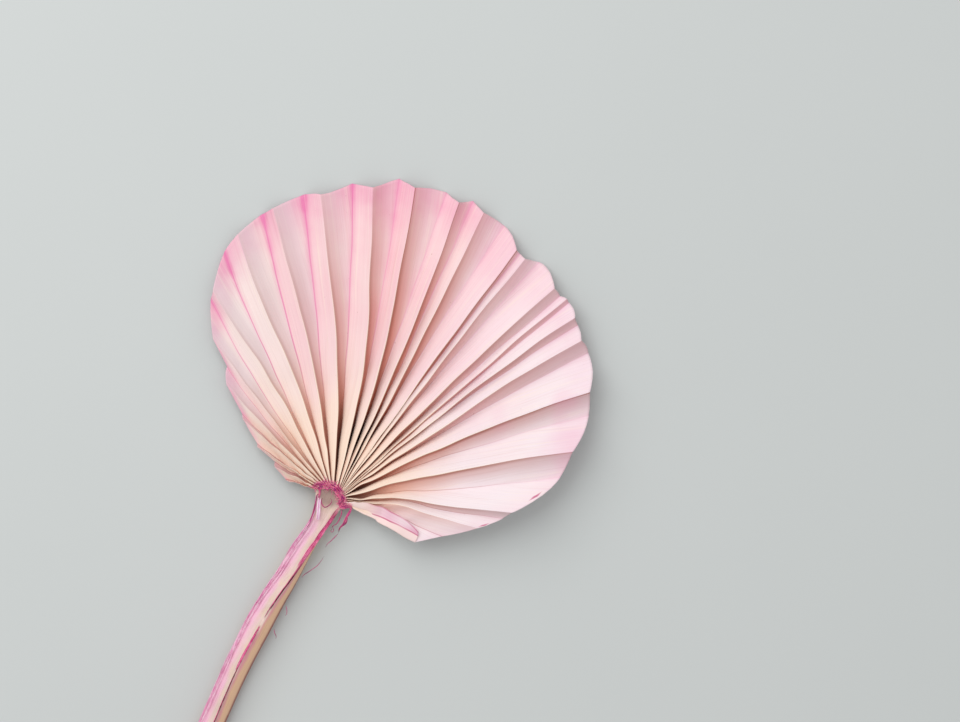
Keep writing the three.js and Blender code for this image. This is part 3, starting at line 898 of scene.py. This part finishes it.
    def _tree(self) -> Modelling:
        """Returns the tree that hangs a sheet between neighbouring folds."""
        tree = Modelling("pleated sheet")
        panels, columns, rows = (tree.size(n, Kind.COUNT) for n in ("Panels", "Columns", "Rows"))
        ridge_round, valley_round, ripple = (tree.size(n) for n in ("Ridge round", "Valley round", "Ripple"))
        counts = {"Size X": 1.0, "Size Y": 1.0, "Vertices X": panels * columns + 1, "Vertices Y": rows}
        across = (tree.position().part(0) + 0.5) * panels
        along = tree.position().part(1) + 0.5
        panel = (across + 0.001).apply("FLOOR").apply("MINIMUM", panels - 1)
        share = 0.5 - 0.5 * ((across - panel) * math.pi).apply("COSINE")
        left = panel * rows + (along * (rows - 1)).apply("ROUND")
        odd = panel.apply("MODULO", 2.0)
        ridge_index, valley_index = left + odd * rows, left + (1 - odd) * rows
        from_ridge = share + odd * (1 - share * 2)

        level = (1.0, 1.0, 0.0)
        ridge, valley = (tree.sample(tree.position(), index) for index in (ridge_index, valley_index))
        gap = ((ridge - valley) * level).length()
        crest = self._rounded(from_ridge * gap, ridge_round)
        trough = self._rounded((1 - from_ridge) * gap, valley_round)
        tint_left, tint_right = (tree.sample(tree.stored("tint"), index) for index in (left, left + rows))
        even_fall = crest / (crest + trough + 1e-9)
        fall = 1 - (1 - even_fall) ** tint_left.part(2)
        plan = tree.blend(from_ridge, ridge, valley, "VECTOR")
        bend = from_ridge * (1 - from_ridge) * 4
        ripples = tree.noise(plan * level, self.ripple_grain, 2.0) - 0.5
        height = tree.mixed(fall, ridge.part(2), valley.part(2))
        height = height + ripples * ripple * (bend * 0.8 + 0.4) * along
        mean, spread = self.belly
        belly = (tree.chance(-1.0, 1.0, 4, panel) * spread + mean) * gap * bend * along

        outward = plan - tree.vector(HUB[0] * MM, HUB[1] * MM, 0.0)
        radius = (outward * level).length()
        rough = (tree.noise(plan * level, self.rough_grain, 3.0) - 0.5) * self.rough
        swell = tint_left.part(1) * bend * along ** 3.0 + rough * along ** 40.0
        plan = plan + outward * level * (swell * MM / radius)

        bearing = outward.part(0).apply("ARCTAN2", outward.part(1)) * math.degrees(1)
        dye = tree.blend(share, tint_left, tint_right, "VECTOR").part(0)
        slope = (ridge.part(2) - valley.part(2)) / (gap + 1e-6)
        # The painted shadow depth of the panel's ridge, for the material.
        edge = tree.sample(tree.stored("edge"), ridge_index).part(0)
        panel_width = gap * (1 / MM)
        sheet = tree.made("MeshGrid", counts)
        for name, value in (
            ("pleat", tree.vector(from_ridge * panel_width, (1 - from_ridge) * panel_width, panel)),
            ("place", tree.vector(radius * (1 / MM), along, bearing)),
            ("tint", tree.vector(dye, slope, edge)),
        ):
            sheet = tree.store(sheet, name, value)
        place = tree.vector(plan.part(0), plan.part(1), height + belly)
        tree.finish(tree.made("SetPosition", {"Geometry": sheet, "Position": place}), self.finish.material())
        return tree

    @staticmethod
    def _rounded(distance: Number, radius: Number) -> Number:
        """Returns a distance that starts level, so that an edge at 0 is rounded."""
        return (distance * distance + radius * radius).apply("SQRT") - radius

    def build(self) -> bpy.types.Object:
        """Returns the finished blade."""
        sizes = {
            "Panels": len(self.FOLDS) - 1,
            "Columns": self.columns,
            "Rows": self.rows,
            "Ridge round": self.ridge_round * MM,
            "Valley round": self.valley_round * MM,
            "Ripple": self.ripple * MM,
        }
        return self._tree().run("blade_sheet", self._host(), sizes, wall=self.wall * MM)


@dataclass(frozen=True)
class PetioleFinish:
    """Dried stalk: grey-beige on its face, tan on its flanks, dark at the right edge, painted shade under the
    arch.
    """

    face: Colour = (220, 196, 182)
    pale: Colour = (240, 212, 202)
    straw: Colour = (238, 212, 178)
    lilac: Colour = (248, 192, 220)
    magenta: Colour = (214, 104, 160)
    rose: Colour = (232, 160, 168)
    tan: Colour = (240, 196, 160)
    dark: Colour = (138, 52, 66)
    # Grey-brown painted shade for the face in the hollow under the arch of fibre.
    hollow: Colour = (150, 122, 112)
    groove_depth: float = 0.3 * MM
    hollow_at: tuple[float, float, float] = ((HUB[0] - 2.2) * MM, (HUB[1] - 1.6) * MM, 9.4 * MM)

    def material(self) -> bpy.types.Material:
        """Returns the material, by the skin's share across, share down the flank and place along."""
        bark = Dressing("dried stalk", self.face, Specular_IOR_Level=0.4)
        skin, place = bark.attribute("skin"), bark.place()
        across, flank, along = (skin.part(i) for i in range(3))
        grain = bark.noise(bark.vector(across * 7, along * 0.03, flank * 9), 1.0, 4.0, 0.65)
        fine = bark.noise(bark.vector(across * 30, along * 0.05, flank * 40), 1.0, 2.0)
        cloud = bark.noise(place, 55.0, 3.0)
        patch = bark.noise(bark.vector(across * 1.2, along * 0.06, flank), 1.0, 3.0)
        bark.coat((cloud + grain * 0.6).step(0.55, 1.1), self.pale)
        mottled = bark.noise(place, 150.0, 2.0, 0.6).step(0.48, 0.66) * (1 - flank.step(0.0, 0.1))
        bark.coat(mottled * 0.4, self.straw)
        stained = (across + (patch - 0.5) * 1.2).step(0.4, -0.4) * along.step(-9.0, -24.0)
        bark.coat(stained * 0.85, self.lilac)
        streaked = stained * (fine + grain * 0.5 - 0.75).step(0.05, 0.2)
        bark.coat(streaked * 0.6, self.magenta)
        # Painted shade on the face under the arch of fibre, fading out from hollow_at.
        arch_shade = (place - self.hollow_at).length().step(8.0 * MM, 3.5 * MM)
        bark.coat(arch_shade * (0.35 + cloud * 0.7), self.hollow)
        bark.coat(flank.step(0.02, 0.1), self.rose)
        bark.coat((flank + (patch - 0.5) * 0.5).step(0.06, 0.34), self.tan)
        seam = flank.step(0.62, 0.86) * flank.step(1.4, 1.2) * across.step(0.0, 0.1)
        bark.coat(seam * 0.85 + (fine - 0.55).step(0, 0.2) * 0.3, self.dark)
        return bark.dress(0.45 + grain * 0.25, grain + fine * 0.4, self.groove_depth)


@dataclass(frozen=True)
class Station:
    """One section of the stalk: its middle, width, thickness, roll in degrees and lowest point."""

    x: float
    width: float
    thickness: float
    roll: float
    lowest: float


@dataclass
class Petiole:
    """The cut stalk, a slightly hollow face over a round belly, which rolls to its left towards the cut."""

    finish: PetioleFinish = PetioleFinish()
    end: float = -250.0
    neck: float = -4.8
    cut_slant: float = 4.0
    face_hollow: float = 0.7
    belly_fullness: float = 0.8
    head_radius: float = 8.7
    head_top: float = 9.4
    head_thickness: tuple[float, float] = (6.4, 3.6)
    head_bearings: tuple[float, float, int] = (86.0, 4.0, 18)
    face_points: int = 16
    belly_points: int = 34
    stations: int = 190

    X = SmoothLine((
        (-250, 6.73), (-190, 2.35), (-143, -1.44), (-120, -3.14), (-103, -3.97), (-86, -4.19),
        (-69, -3.86), (-52, -2.75), (-34, -2.19), (-23, -1.33), (-12, -0.8), (-4.8, -1.8),
    ))
    WIDTH = SmoothLine((
        (-250, 12), (-190, 12), (-143, 12), (-120, 11.9), (-103, 12.6), (-86, 13.7), (-69, 12.5),
        (-52, 11.5), (-34, 11), (-23, 10.7), (-14, 11.6), (-9, 13.2), (-4.8, 16.2),
    ))
    THICKNESS = SmoothLine((
        (-250, 12), (-190, 12), (-143, 12), (-120, 12.3), (-103, 12.6), (-86, 12.6),
        (-69, 12.3), (-52, 11.4), (-34, 9.6), (-23, 7.8), (-4.8, 6.6),
    ))
    ROLL = SmoothLine((
        (-250, 42), (-190, 44), (-143, 45), (-120, 46), (-103, 47), (-86, 46),
        (-69, 41), (-52, 31), (-34, 17), (-23, 3), (-14, 0), (-4.8, 0),
    ))
    LOWEST = SmoothLine(((-250, 0), (-69, 0), (-52, 0.3), (-34, 0.9), (-23, 1.5), (-4.8, 2.8)))

    def _section(self, station: Station) -> tuple[np.ndarray, np.ndarray]:
        """Returns a section's points (u right, w up), with their shares across and down the flank."""
        half = station.width / 2
        u = np.linspace(-1, 1, self.face_points)
        face = np.stack([u * half, -self.face_hollow * (1 - u * u)], axis=1)
        angle = np.pi * np.arange(1, self.belly_points + 1) / (self.belly_points + 1)
        depth = np.sin(angle) ** self.belly_fullness
        belly = np.stack([np.cos(angle) * half, -depth * station.thickness], axis=1)
        shares = np.concatenate([np.stack([u, 0 * u], 1), np.stack([np.cos(angle), depth], 1)])
        return np.concatenate([face, belly]), shares

    def station(self, y: float) -> Station:
        """Returns the stalk's own section at a place along it."""
        tables = (self.X, self.WIDTH, self.THICKNESS, self.ROLL, self.LOWEST)
        return Station(*(table.at(y) for table in tables))

    def _frame(self, station: Station) -> Matrix:
        """Returns the matrix that takes a section's (u, w, 1) to (x, z, 1)."""
        turn = math.radians(station.roll)
        points, _ = self._section(station)
        xs = points[:, 0] * math.cos(turn) - points[:, 1] * math.sin(turn)
        zs = points[:, 0] * math.sin(turn) + points[:, 1] * math.cos(turn)
        middle = station.x - (xs.min() + xs.max()) / 2
        raised = max(station.lowest, 0) - zs.min()
        return Matrix((
            (math.cos(turn), -math.sin(turn), middle), (math.sin(turn), math.cos(turn), raised), (0, 0, 1),
        ))

    def on_face(self, y: float, u: float, w: float) -> Vector:
        """Returns the point over the stalk's face, u across from its middle and w above its edges."""
        x, z, _ = self._frame(self.station(y)) @ Vector((u, w, 1))
        return Vector((x, y, z))

    def _ring(self, y: float, station: Station, slant: float = 0.0) -> tuple[np.ndarray, np.ndarray]:
        """Returns the points and the skin of one ring."""
        points, shares = self._section(station)
        corners = np.concatenate([points, np.ones((len(points), 1))], axis=1)
        spread = corners @ np.array(self._frame(station)).T
        places = np.full(len(points), y)
        ring = np.stack([spread[:, 0], places + slant * points[:, 0] / station.width, spread[:, 1]], 1)
        outermost = shares[np.argmax(spread[:, 0]), 1]
        depth = np.where(shares[:, 0] > 0, shares[:, 1] / max(outermost, 0.3), shares[:, 1])
        return ring, np.stack([shares[:, 0], depth, places], axis=1)

    def _head_ring(self, bearing: float) -> tuple[np.ndarray, np.ndarray]:
        """Returns a ring of the round head, at a bearing from its tip, in degrees."""
        thickness = np.interp(bearing, (0, 90), self.head_thickness[::-1])
        plan = Vector(ARCH_CENTRE) + polar(0, self.head_radius * math.cos(math.radians(bearing)))
        width = 2 * self.head_radius * math.sin(math.radians(bearing))
        return self._ring(plan.y, Station(plan.x, width, thickness, 0.0, self.head_top - thickness))

    def build(self) -> bpy.types.Object:
        """Returns the finished stalk."""
        places = np.linspace(self.end, self.neck, self.stations)
        rings = [self._ring(y, self.station(y), 0.0 if i else self.cut_slant) for i, y in enumerate(places)]
        rings += [self._head_ring(bearing) for bearing in np.linspace(*self.head_bearings)]
        points, skin = (np.array(part) for part in zip(*rings))
        return piece_of(ring_mesh("petiole_stalk", points, skin), self.finish.material())


@dataclass(frozen=True)
class FibreFinish:
    """Raw torn fibre in three tones: each thread takes its own between the pale and the deep one."""

    name: str
    pale: Colour
    main: Colour
    deep: Colour

    def material(self) -> bpy.types.Material:
        """Returns the fibre's material, which takes a thread's tone from the attribute thread."""
        fibre = Dressing(self.name, self.main, Specular_IOR_Level=0.25, Roughness=0.75)
        tone = fibre.attribute("thread").part(0) + (fibre.noise(fibre.place(), 260.0, 3.0) - 0.5) * 1.5
        stops = [(0.12, linear(*self.pale)), (0.5, linear(*self.main)), (0.92, linear(*self.deep))]
        ramp = fibre.node("ShaderNodeValToRGB", {"stops": stops}, {0: tone})
        fibre.paint("Base Color", ramp.outputs[0])
        fibre.relief(fibre.noise(fibre.place(), 1800.0, 2.0), 0.1 * MM)
        return fibre.material


@dataclass
class Bundle:
    """Threads that lie along a path, wander across it, and start and end where they please."""

    threads: int = 60
    thickness: float = 0.22
    wave: float = 90.0
    shortest: float = 0.25
    longest: float = 0.8
    points: int = 46
    seed: int = 1

    SIDES = 5
    HOME = 0.8
    STRAY = (1.3, 0.9)

    def tree(self, finish: FibreFinish) -> Modelling:
        """Returns the tree, whose host lines carry the vectors across and lift in millimetres, and girth."""
        tree = Modelling("fibre bundle")
        count = tree.size("Threads", Kind.COUNT)
        thickness, wave = tree.size("Thickness"), tree.size("Wave")
        shortest, longest = tree.size("Shortest"), tree.size("Longest")
        paths = tree.made("MeshToCurve", {"Mesh": tree.host})
        copies = {"Geometry": paths, "Amount": count}
        doubled = tree.node("GeometryNodeDuplicateElements", {"domain": "SPLINE"}, copies)
        index = Number(tree, doubled.outputs["Duplicate Index"])
        girths = tree.chance(0.4, 1.0, self.seed + 1, index)
        marks = tree.vector(tree.chance(0.0, 1.0, self.seed, index), index, girths)
        marked = tree.store(doubled.outputs[0], "thread", marks)
        own = tree.stored("thread").part(1)
        span = shortest + (longest - shortest) * tree.chance(0.0, 1.0, self.seed + 2, own)
        start = (1 - span) * tree.chance(0.0, 1.0, self.seed + 3, own)
        cut = tree.made("TrimCurve", {"Curve": marked, "Start": start, "End": start + span}, mode="FACTOR")
        fine = tree.made("ResampleCurve", {"Curve": cut, "Count": self.points})

        drift = tree.position() * wave + tree.vector(own * 7.3, own * 3.1, 0.0)
        stray = tree.noise_vector(drift, 1.0)
        side = tree.chance(-1.0, 1.0, self.seed + 4, own) * self.HOME + stray.part(0) * self.STRAY[0]
        rise = tree.chance(0.0, 1.0, self.seed + 5, own) * self.HOME + stray.part(1) * self.STRAY[1]
        lain = tree.moved(fine, (tree.stored("across") * side + tree.stored("lift") * rise) * MM)
        taper = (1 - (tree.along() * 2 - 1).apply("ABSOLUTE") ** 4.0) * 0.85 + 0.15
        girth = taper * thickness * tree.stored("thread").part(2) * tree.stored("girth").part(0) * 0.5
        tree.finish(tree.tubes(lain, self.SIDES, girth), finish.material())
        return tree

    def build(self, name: str, host: bpy.types.Mesh, finish: FibreFinish) -> bpy.types.Object:
        """Returns a bundle along the lines of a host mesh."""
        sizes = {
            "Threads": self.threads, "Thickness": self.thickness * MM, "Wave": self.wave,
            "Shortest": self.shortest, "Longest": self.longest,
        }
        return self.tree(finish).run(name, host, sizes)


@dataclass
class Fringe:
    """Short torn hairs that stand out along a path."""

    hairs: int = 300
    length: float = 3.8
    thickness: float = 0.26
    spread: float = 0.9
    curl: float = 1.1
    seed: int = 5

    def tree(self, finish: FibreFinish) -> Modelling:
        """Returns the tree, whose host line carries the vectors across and lift."""
        tree = Modelling("fringe")
        count, length, thickness = tree.size("Hairs", Kind.COUNT), tree.size("Length"), tree.size("Thickness")
        path = tree.made("MeshToCurve", {"Mesh": tree.host})
        roots = tree.made("ResampleCurve", {"Curve": path, "Count": count})
        points = tree.made("CurveToPoints", {"Curve": roots, "Count": count})
        lie = tree.stored("across") * (tree.chance(-0.9, 0.9, self.seed) * MM)
        rise = tree.stored("lift") * (tree.chance(0.0, 0.9, self.seed + 1) * MM)
        level = [tree.chance(-self.spread, self.spread, self.seed + 3 + i) for i in range(2)]
        aim = tree.stored("across") * tree.chance(-0.5, 1.0, self.seed + 2)
        aim = aim + tree.vector(*level, tree.chance(-0.15, 0.5, self.seed + 5))
        turn = tree.node("FunctionNodeAlignRotationToVector", {"axis": "Z"}, {"Vector": aim}).outputs[0]
        line = tree.made("CurvePrimitiveLine", {"End": (0.0, 0.0, 1.0)})
        grown = tree.made("InstanceOnPoints", {
            "Points": tree.moved(points, lie + rise), "Rotation": turn,
            "Instance": tree.made("ResampleCurve", {"Curve": line, "Count": 8}),
            "Scale": tree.chance(0.25, 1.0, self.seed + 6) * length,
        })
        hairs = tree.made("RealizeInstances", {"Geometry": grown})
        stray = tree.noise_vector(tree.position(), 330.0, 1.0) * (tree.along() * self.curl * 2 * MM)
        tone = tree.vector(tree.chance(0.0, 1.0, self.seed + 7), 0.0, 0.0)
        toned = tree.store(tree.moved(hairs, stray), "thread", tone)
        tree.finish(tree.tubes(toned, 4, (1 - tree.along() * 0.8) * thickness * 0.5), finish.material())
        return tree

    def build(self, name: str, host: bpy.types.Mesh, finish: FibreFinish) -> bpy.types.Object:
        """Returns the hairs along the line of a host mesh."""
        sizes = {"Hairs": self.hairs, "Length": self.length * MM, "Thickness": self.thickness * MM}
        return self.tree(finish).run(name, host, sizes)


@dataclass(frozen=True)
class Strand:
    """A loose fibre over the petiole: its points (x, y, height), its room across, and girths at both ends."""

    points: tuple[tuple[float, float, float], ...]
    room: float = 0.3
    girths: tuple[float, float] = (1.0, 1.0)

    STEPS = 60
    RISE = 0.6

    def line(self) -> np.ndarray:
        """Returns evenly numbered points of the smooth line through the strand's points."""
        parts = [SmoothLine(tuple(enumerate(values))) for values in zip(*self.points)]
        places = np.linspace(0, len(self.points) - 1, self.STEPS)
        return np.array([[part.at(place) for part in parts] for place in places])

    def sideways(self) -> np.ndarray:
        """Returns the vector square to the line at each point, as long as the strand's room."""
        run = np.gradient(self.line(), axis=0)
        square = np.stack([run[:, 1], -run[:, 0], np.zeros(len(run))], axis=1)
        return self.room * square / np.linalg.norm(square, axis=1)[:, None]


@dataclass
class Hastula:
    """The ring of torn fibre at the hub and the stripped margins that run from it down the petiole.

    THREADS holds what each piece is made of, RADII the ring's radius by bearing, and STRIP, TUFTS and
    LOOSE the courses of the single strands.
    """

    petiole: Petiole
    band: float = 2.8
    bearings: tuple[float, float] = (-84.0, 98.0)
    ring_foot: float = 10.4
    ring_height: float = 1.6
    ring_steps: int = 60
    margin_height: float = 0.7
    margin_foot: float = 0.1
    margin_overhang: float = 0.4
    margin_steps: int = 90
    ring: FibreFinish = FibreFinish("hub fibre", (254, 174, 190), (236, 94, 150), (166, 54, 132))
    left: FibreFinish = FibreFinish("left margin fibre", (252, 226, 236), (248, 200, 224), (236, 146, 194))
    strip: FibreFinish = FibreFinish("torn strip", (255, 240, 248), (252, 216, 236), (236, 170, 210))
    loose: FibreFinish = FibreFinish("loose fibre", (196, 84, 134), (140, 48, 92), (76, 28, 52))
    right: FibreFinish = FibreFinish("right margin fibre", (244, 140, 180), (214, 72, 132), (136, 34, 80))
    seam: FibreFinish = FibreFinish("dark seam fibre", (220, 112, 152), (150, 50, 82), (86, 26, 44))

    THREADS = {
        "hastula_ring": Bundle(72, thickness=0.5, wave=280.0, shortest=0.12, longest=0.5, points=60, seed=3),
        "left_margin": Bundle(20, thickness=0.36, wave=60.0, shortest=0.15, longest=0.6, points=56, seed=11),
        "right_margin": Bundle(24, thickness=0.45, wave=70.0, shortest=0.5, longest=1.0, points=56, seed=23),
        "dark_seam": Bundle(18, thickness=0.46, wave=50.0, shortest=0.5, longest=1.0, points=56, seed=27),
        "hub_fringe": Fringe(),
        "torn_ends": Bundle(26, thickness=0.42, wave=150.0, shortest=0.35, longest=1.0, seed=37),
        "torn_strip": Bundle(18, thickness=0.6, wave=60.0, shortest=0.8, longest=1.0, seed=31),
        "loose_fibres": Bundle(4, thickness=0.72, wave=150.0, shortest=0.85, longest=1.0, points=64, seed=41),
    }
    RADII = SmoothLine((
        (-84, 10.2), (-60, 8.8), (-42, 8.0), (-7, 7.7), (20, 7.0), (43, 6.7), (72, 7.9), (98, 7.3),
    ))
    STRIP = (Strand(((-7.1, -5.0, 10.8), (-5.4, -9.0, 11.3), (-3.6, -13.2, 11.0), (-2.0, -16.9, 10.4)), 1.0),)
    TUFTS = (
        Strand((
            (-5.8, 4.0, 10.6), (-9.0, 2.2, 10.8), (-11.5, 0.6, 10.6), (-13.3, -0.7, 10.2),
        ), 0.9, (0.8, 0.5)),
        Strand((
            (-9.6, 2.0, 10.4), (-9.1, -0.6, 10.4), (-7.9, -3.6, 10.2), (-7.2, -6.4, 10.0),
        ), 0.6, (0.8, 0.5)),
        Strand((
            (3.6, -1.0, 10.6), (5.9, -3.6, 10.8), (8.6, -2.2, 10.8), (11.4, -0.5, 10.4),
        ), 1.3, (0.9, 0.7)),
        Strand((
            (10.6, -0.2, 10.6), (11.5, -3.6, 10.4), (11.3, -7.6, 10), (11.6, -11.4, 9.4), (10.9, -14.8, 9),
        ), 0.7, (0.9, 0.5)),
    )
    LOOSE = (
        Strand((
            (-5.6, -4.2, 10.2), (-5.4, -6, 10.6), (-4.5, -7.5, 10.9), (-2.1, -8.4, 11.1), (-0.5, -6.4, 11),
            (-0.1, -4.2, 10.8), (-0.7, -3.1, 10.8), (-1.9, -2.6, 10.5),
        ), 0.15, (0.9, 0.7)),
        Strand((
            (11.2, -1.0, 10.6), (11.6, -2.4, 10.4), (11.5, -4, 10.2), (11.4, -7.2, 9.8), (12.4, -10.5, 9.0),
            (10.9, -14.5, 8.8), (11.4, -18, 8.2),
        ), 0.45, (1.9, 1.1)),
        Strand((
            (11.4, -18, 8.2), (10.6, -21, 8.0), (9.9, -23.3, 8.0), (8.9, -25.8, 8.2), (8.6, -28.4, 8.0),
        ), 0.12, (0.8, 0.4)),
        Strand((
            (7.0, -5.0, 9.8), (8.0, -7.4, 9.9), (8.2, -9.6, 9.6), (8.4, -11.8, 9.4), (8, -13.8, 9.4),
            (6.8, -15.8, 9.6), (6.2, -17.6, 9.5),
        ), 0.3, (0.8, 0.4)),
        Strand((
            (6.6, -15.6, 9.8), (7.6, -16.6, 10.0), (8.4, -17.8, 9.8), (7.9, -18.9, 9.7), (7.0, -18.4, 9.8),
            (7.2, -17.2, 9.9),
        ), 0.1, (0.5, 0.4)),
        Strand((
            (4.8, -49.4, 9.6), (5.2, -47.6, 10.2), (6, -45.9, 10.4), (7.4, -43.4, 10.2), (8.6, -41.1, 9.9),
            (9.6, -38.8, 9.6), (10, -36.6, 9.4), (10.3, -34.4, 9.3), (10.2, -32.4, 9.2),
        ), 0.12, (0.6, 0.35)),
        Strand((
            (4.6, -67, 10.0), (6.2, -69, 10.3), (7.0, -70.8, 9.8), (6.8, -72.5, 9.6),
        ), 0.12, (0.6, 0.4)),
        Strand((
            (4.9, -81.6, 10.4), (6.3, -83.5, 10.4), (7.7, -84.6, 9.8), (8.4, -86.2, 9.6),
        ), 0.12, (0.6, 0.4)),
        Strand((
            (-7.6, -3.4, 9.6), (-8.9, -4.7, 9.4), (-7.6, -9.0, 9.4), (-6.6, -12.9, 9.6), (-5.9, -16.4, 9.5),
            (-5.5, -19.9, 9.4), (-5.9, -24.4, 9.2), (-5.8, -28.4, 9.4),
        ), 0.4, (1.1, 0.5)),
    )

    def _ring_host(self) -> bpy.types.Mesh:
        """Returns the ring's path with the room that its threads have."""
        bearings = np.linspace(*self.bearings, self.ring_steps)
        arch = Vector(ARCH_CENTRE)
        path = np.array([[*(arch + polar(b, self.RADII.at(b))), self.ring_foot] for b in bearings])
        across = np.array([[*polar(b, self.band), 0.0] for b in bearings])
        lift = np.tile((0.0, 0.0, self.ring_height), (len(bearings), 1))
        return path_mesh("ring path", [path], across=[across], lift=[lift], girth=[np.ones_like(path)])

    @staticmethod
    def _strand_host(name: str, strands: Sequence[Strand]) -> bpy.types.Mesh:
        """Returns the lines of loose strands, with the room and girth that their threads have."""
        return path_mesh(
            name,
            [strand.line() for strand in strands],
            across=[strand.sideways() for strand in strands],
            lift=[np.tile((0.0, 0.0, strand.room * strand.RISE), (strand.STEPS, 1)) for strand in strands],
            girth=[np.linspace(*strand.girths, strand.STEPS)[:, None] * np.ones(3) for strand in strands],
        )

    def _margin_host(self, side: int, *spans: tuple[float, float, float]) -> bpy.types.Mesh:
        """Returns the paths of a margin.

        Args:
            side: -1 for the left margin, 1 for the right one.
            *spans: For each path where it starts and ends along the stalk, and its width.

        Returns:
            The host mesh.
        """
        paths, rooms, lifts = [], [], []
        for start, end, width in spans:
            path, across, lift = [], [], []
            for y in np.linspace(start, end, self.margin_steps):
                edge = side * (self.petiole.WIDTH.at(y) / 2 - width / 2 + self.margin_overhang)
                here = self.petiole.on_face(y, edge, self.margin_foot)
                path.append(here)
                across.append((self.petiole.on_face(y, edge + 1, self.margin_foot) - here) * width / 2)
                lift.append((self.petiole.on_face(y, edge, self.margin_foot + 1) - here) * self.margin_height)
            for whole, part in ((paths, path), (rooms, across), (lifts, lift)):
                whole.append(np.array(part))
        girths = [np.ones_like(path) for path in paths]
        return path_mesh("margin path", paths, across=rooms, lift=lifts, girth=girths)

    def build(self) -> list[bpy.types.Object]:
        """Returns the ring, its fringe, both margins and the loose strands."""
        end, neck = self.petiole.end + 3, self.petiole.neck + 1
        ring = self._ring_host()
        left = ((neck, -46, 2.0), (-14, -95, 4.4), (-60, -160, 4.6), (-120, end, 4.4))
        hosts = {
            "hastula_ring": (ring, self.ring),
            "left_margin": (self._margin_host(-1, *left), self.left),
            "right_margin": (self._margin_host(1, (neck, -46, 2.4), (-83, -112, 1.6)), self.right),
            "dark_seam": (self._margin_host(1, (-32, -79, 1.3), (-100, end, 0.9)), self.seam),
            "hub_fringe": (ring, self.ring),
            "torn_ends": (self._strand_host("torn end paths", self.TUFTS), self.ring),
            "torn_strip": (self._strand_host("strip path", self.STRIP), self.strip),
            "loose_fibres": (self._strand_host("strand paths", self.LOOSE), self.loose),
        }
        return [self.THREADS[name].build(name, *host) for name, host in hosts.items()]


@dataclass
class Studio:
    """A pale surface, soft light from the upper left of the picture, and a camera straight above."""

    view_width: float = 0.5376
    view_centre: tuple[float, float] = (0.0426, 0.1396)
    view_turn: float = 28.0
    distance: float = 1.9
    sensor: float = 36.0
    surface: Colour = (203, 207, 206)
    clouds: Colour = (214, 217, 216)
    surface_reach: float = 4.0
    sky: float = 0.66
    key_power: float = 14.5
    key_size: float = 1.6
    key_distance: float = 1.6
    key_from: tuple[float, float, float] = (-0.66, 0.3, 0.9)
    leaf_middle: tuple[float, float, float] = (0.0, 0.09, 0.0)

    CORNERS = ((-1, -1), (1, -1), (1, 1), (-1, 1))

    def _surface(self) -> None:
        """Lays the pale surface under the leaf."""
        mesh = bpy.data.meshes.new("surface")
        corners = [(x * self.surface_reach, y * self.surface_reach, 0.0) for x, y in self.CORNERS]
        mesh.from_pydata(corners, [], [(0, 1, 2, 3)])
        finish = Dressing("pale surface", self.surface, Roughness=0.9, Specular_IOR_Level=0.1)
        finish.coat(finish.noise(finish.place(), 6.0, 3.0) * 0.25, self.clouds)
        finish.paint("Base Color", finish.colour)
        piece_of(mesh, finish.material)

    def _key_light(self) -> None:
        """Hangs a square soft light that shines on the middle of the leaf."""
        lamp = bpy.data.lights.new("key light", "AREA")
        lamp.energy, lamp.size = self.key_power, self.key_size
        light = placed("key light", lamp)
        aim = Vector(self.key_from).normalized()
        light.location = Vector(self.leaf_middle) + aim * self.key_distance
        light.rotation_euler = aim.to_track_quat("Z", "Y").to_euler()

    def build(self) -> None:
        """Makes the stage, the lights and the camera, and sets plain display colours."""
        self._surface()
        self._key_light()
        world = bpy.data.worlds.new("soft room")
        world.use_nodes = True
        background = world.node_tree.nodes["Background"]
        background.inputs["Color"].default_value = (1.0, 1.0, 1.0, 1.0)
        background.inputs["Strength"].default_value = self.sky
        scene = bpy.context.scene
        scene.world = world
        scene.view_settings.view_transform = "Standard"
        scene.view_settings.look = "None"
        camera = bpy.data.cameras.new("camera")
        camera.sensor_width = self.sensor
        camera.lens = self.distance * self.sensor / self.view_width
        camera.clip_end = 20.0
        view = placed("camera", camera)
        view.location = (*self.view_centre, self.distance)
        view.rotation_euler = (0.0, 0.0, math.radians(self.view_turn))
        scene.camera = view


def stand_for(piece: bpy.types.Object, slot: str, *nodes: str) -> None:
    """Makes a piece ride on the leaf, hides the solids that it stands for, and reports it."""
    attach(piece, BODY)
    if nodes:
        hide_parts(*nodes)
    LOG.info("%s: %d faces, finish %s", piece.name, len(piece.data.polygons), piece.data.materials[0].name)


def main() -> None:
    """Builds the leaf and its studio."""
    logging.basicConfig(level=logging.INFO, format="%(message)s")
    Studio().build()
    stand_for(Blade().build(), "blade", "blade")
    petiole = Petiole()
    stand_for(petiole.build(), "petiole", "petiole")
    for piece in Hastula(petiole).build():
        stand_for(piece, "hastula", *(["hastula"] if piece.name == "hastula_ring" else []))
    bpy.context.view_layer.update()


if __name__ == "__main__":
    main()
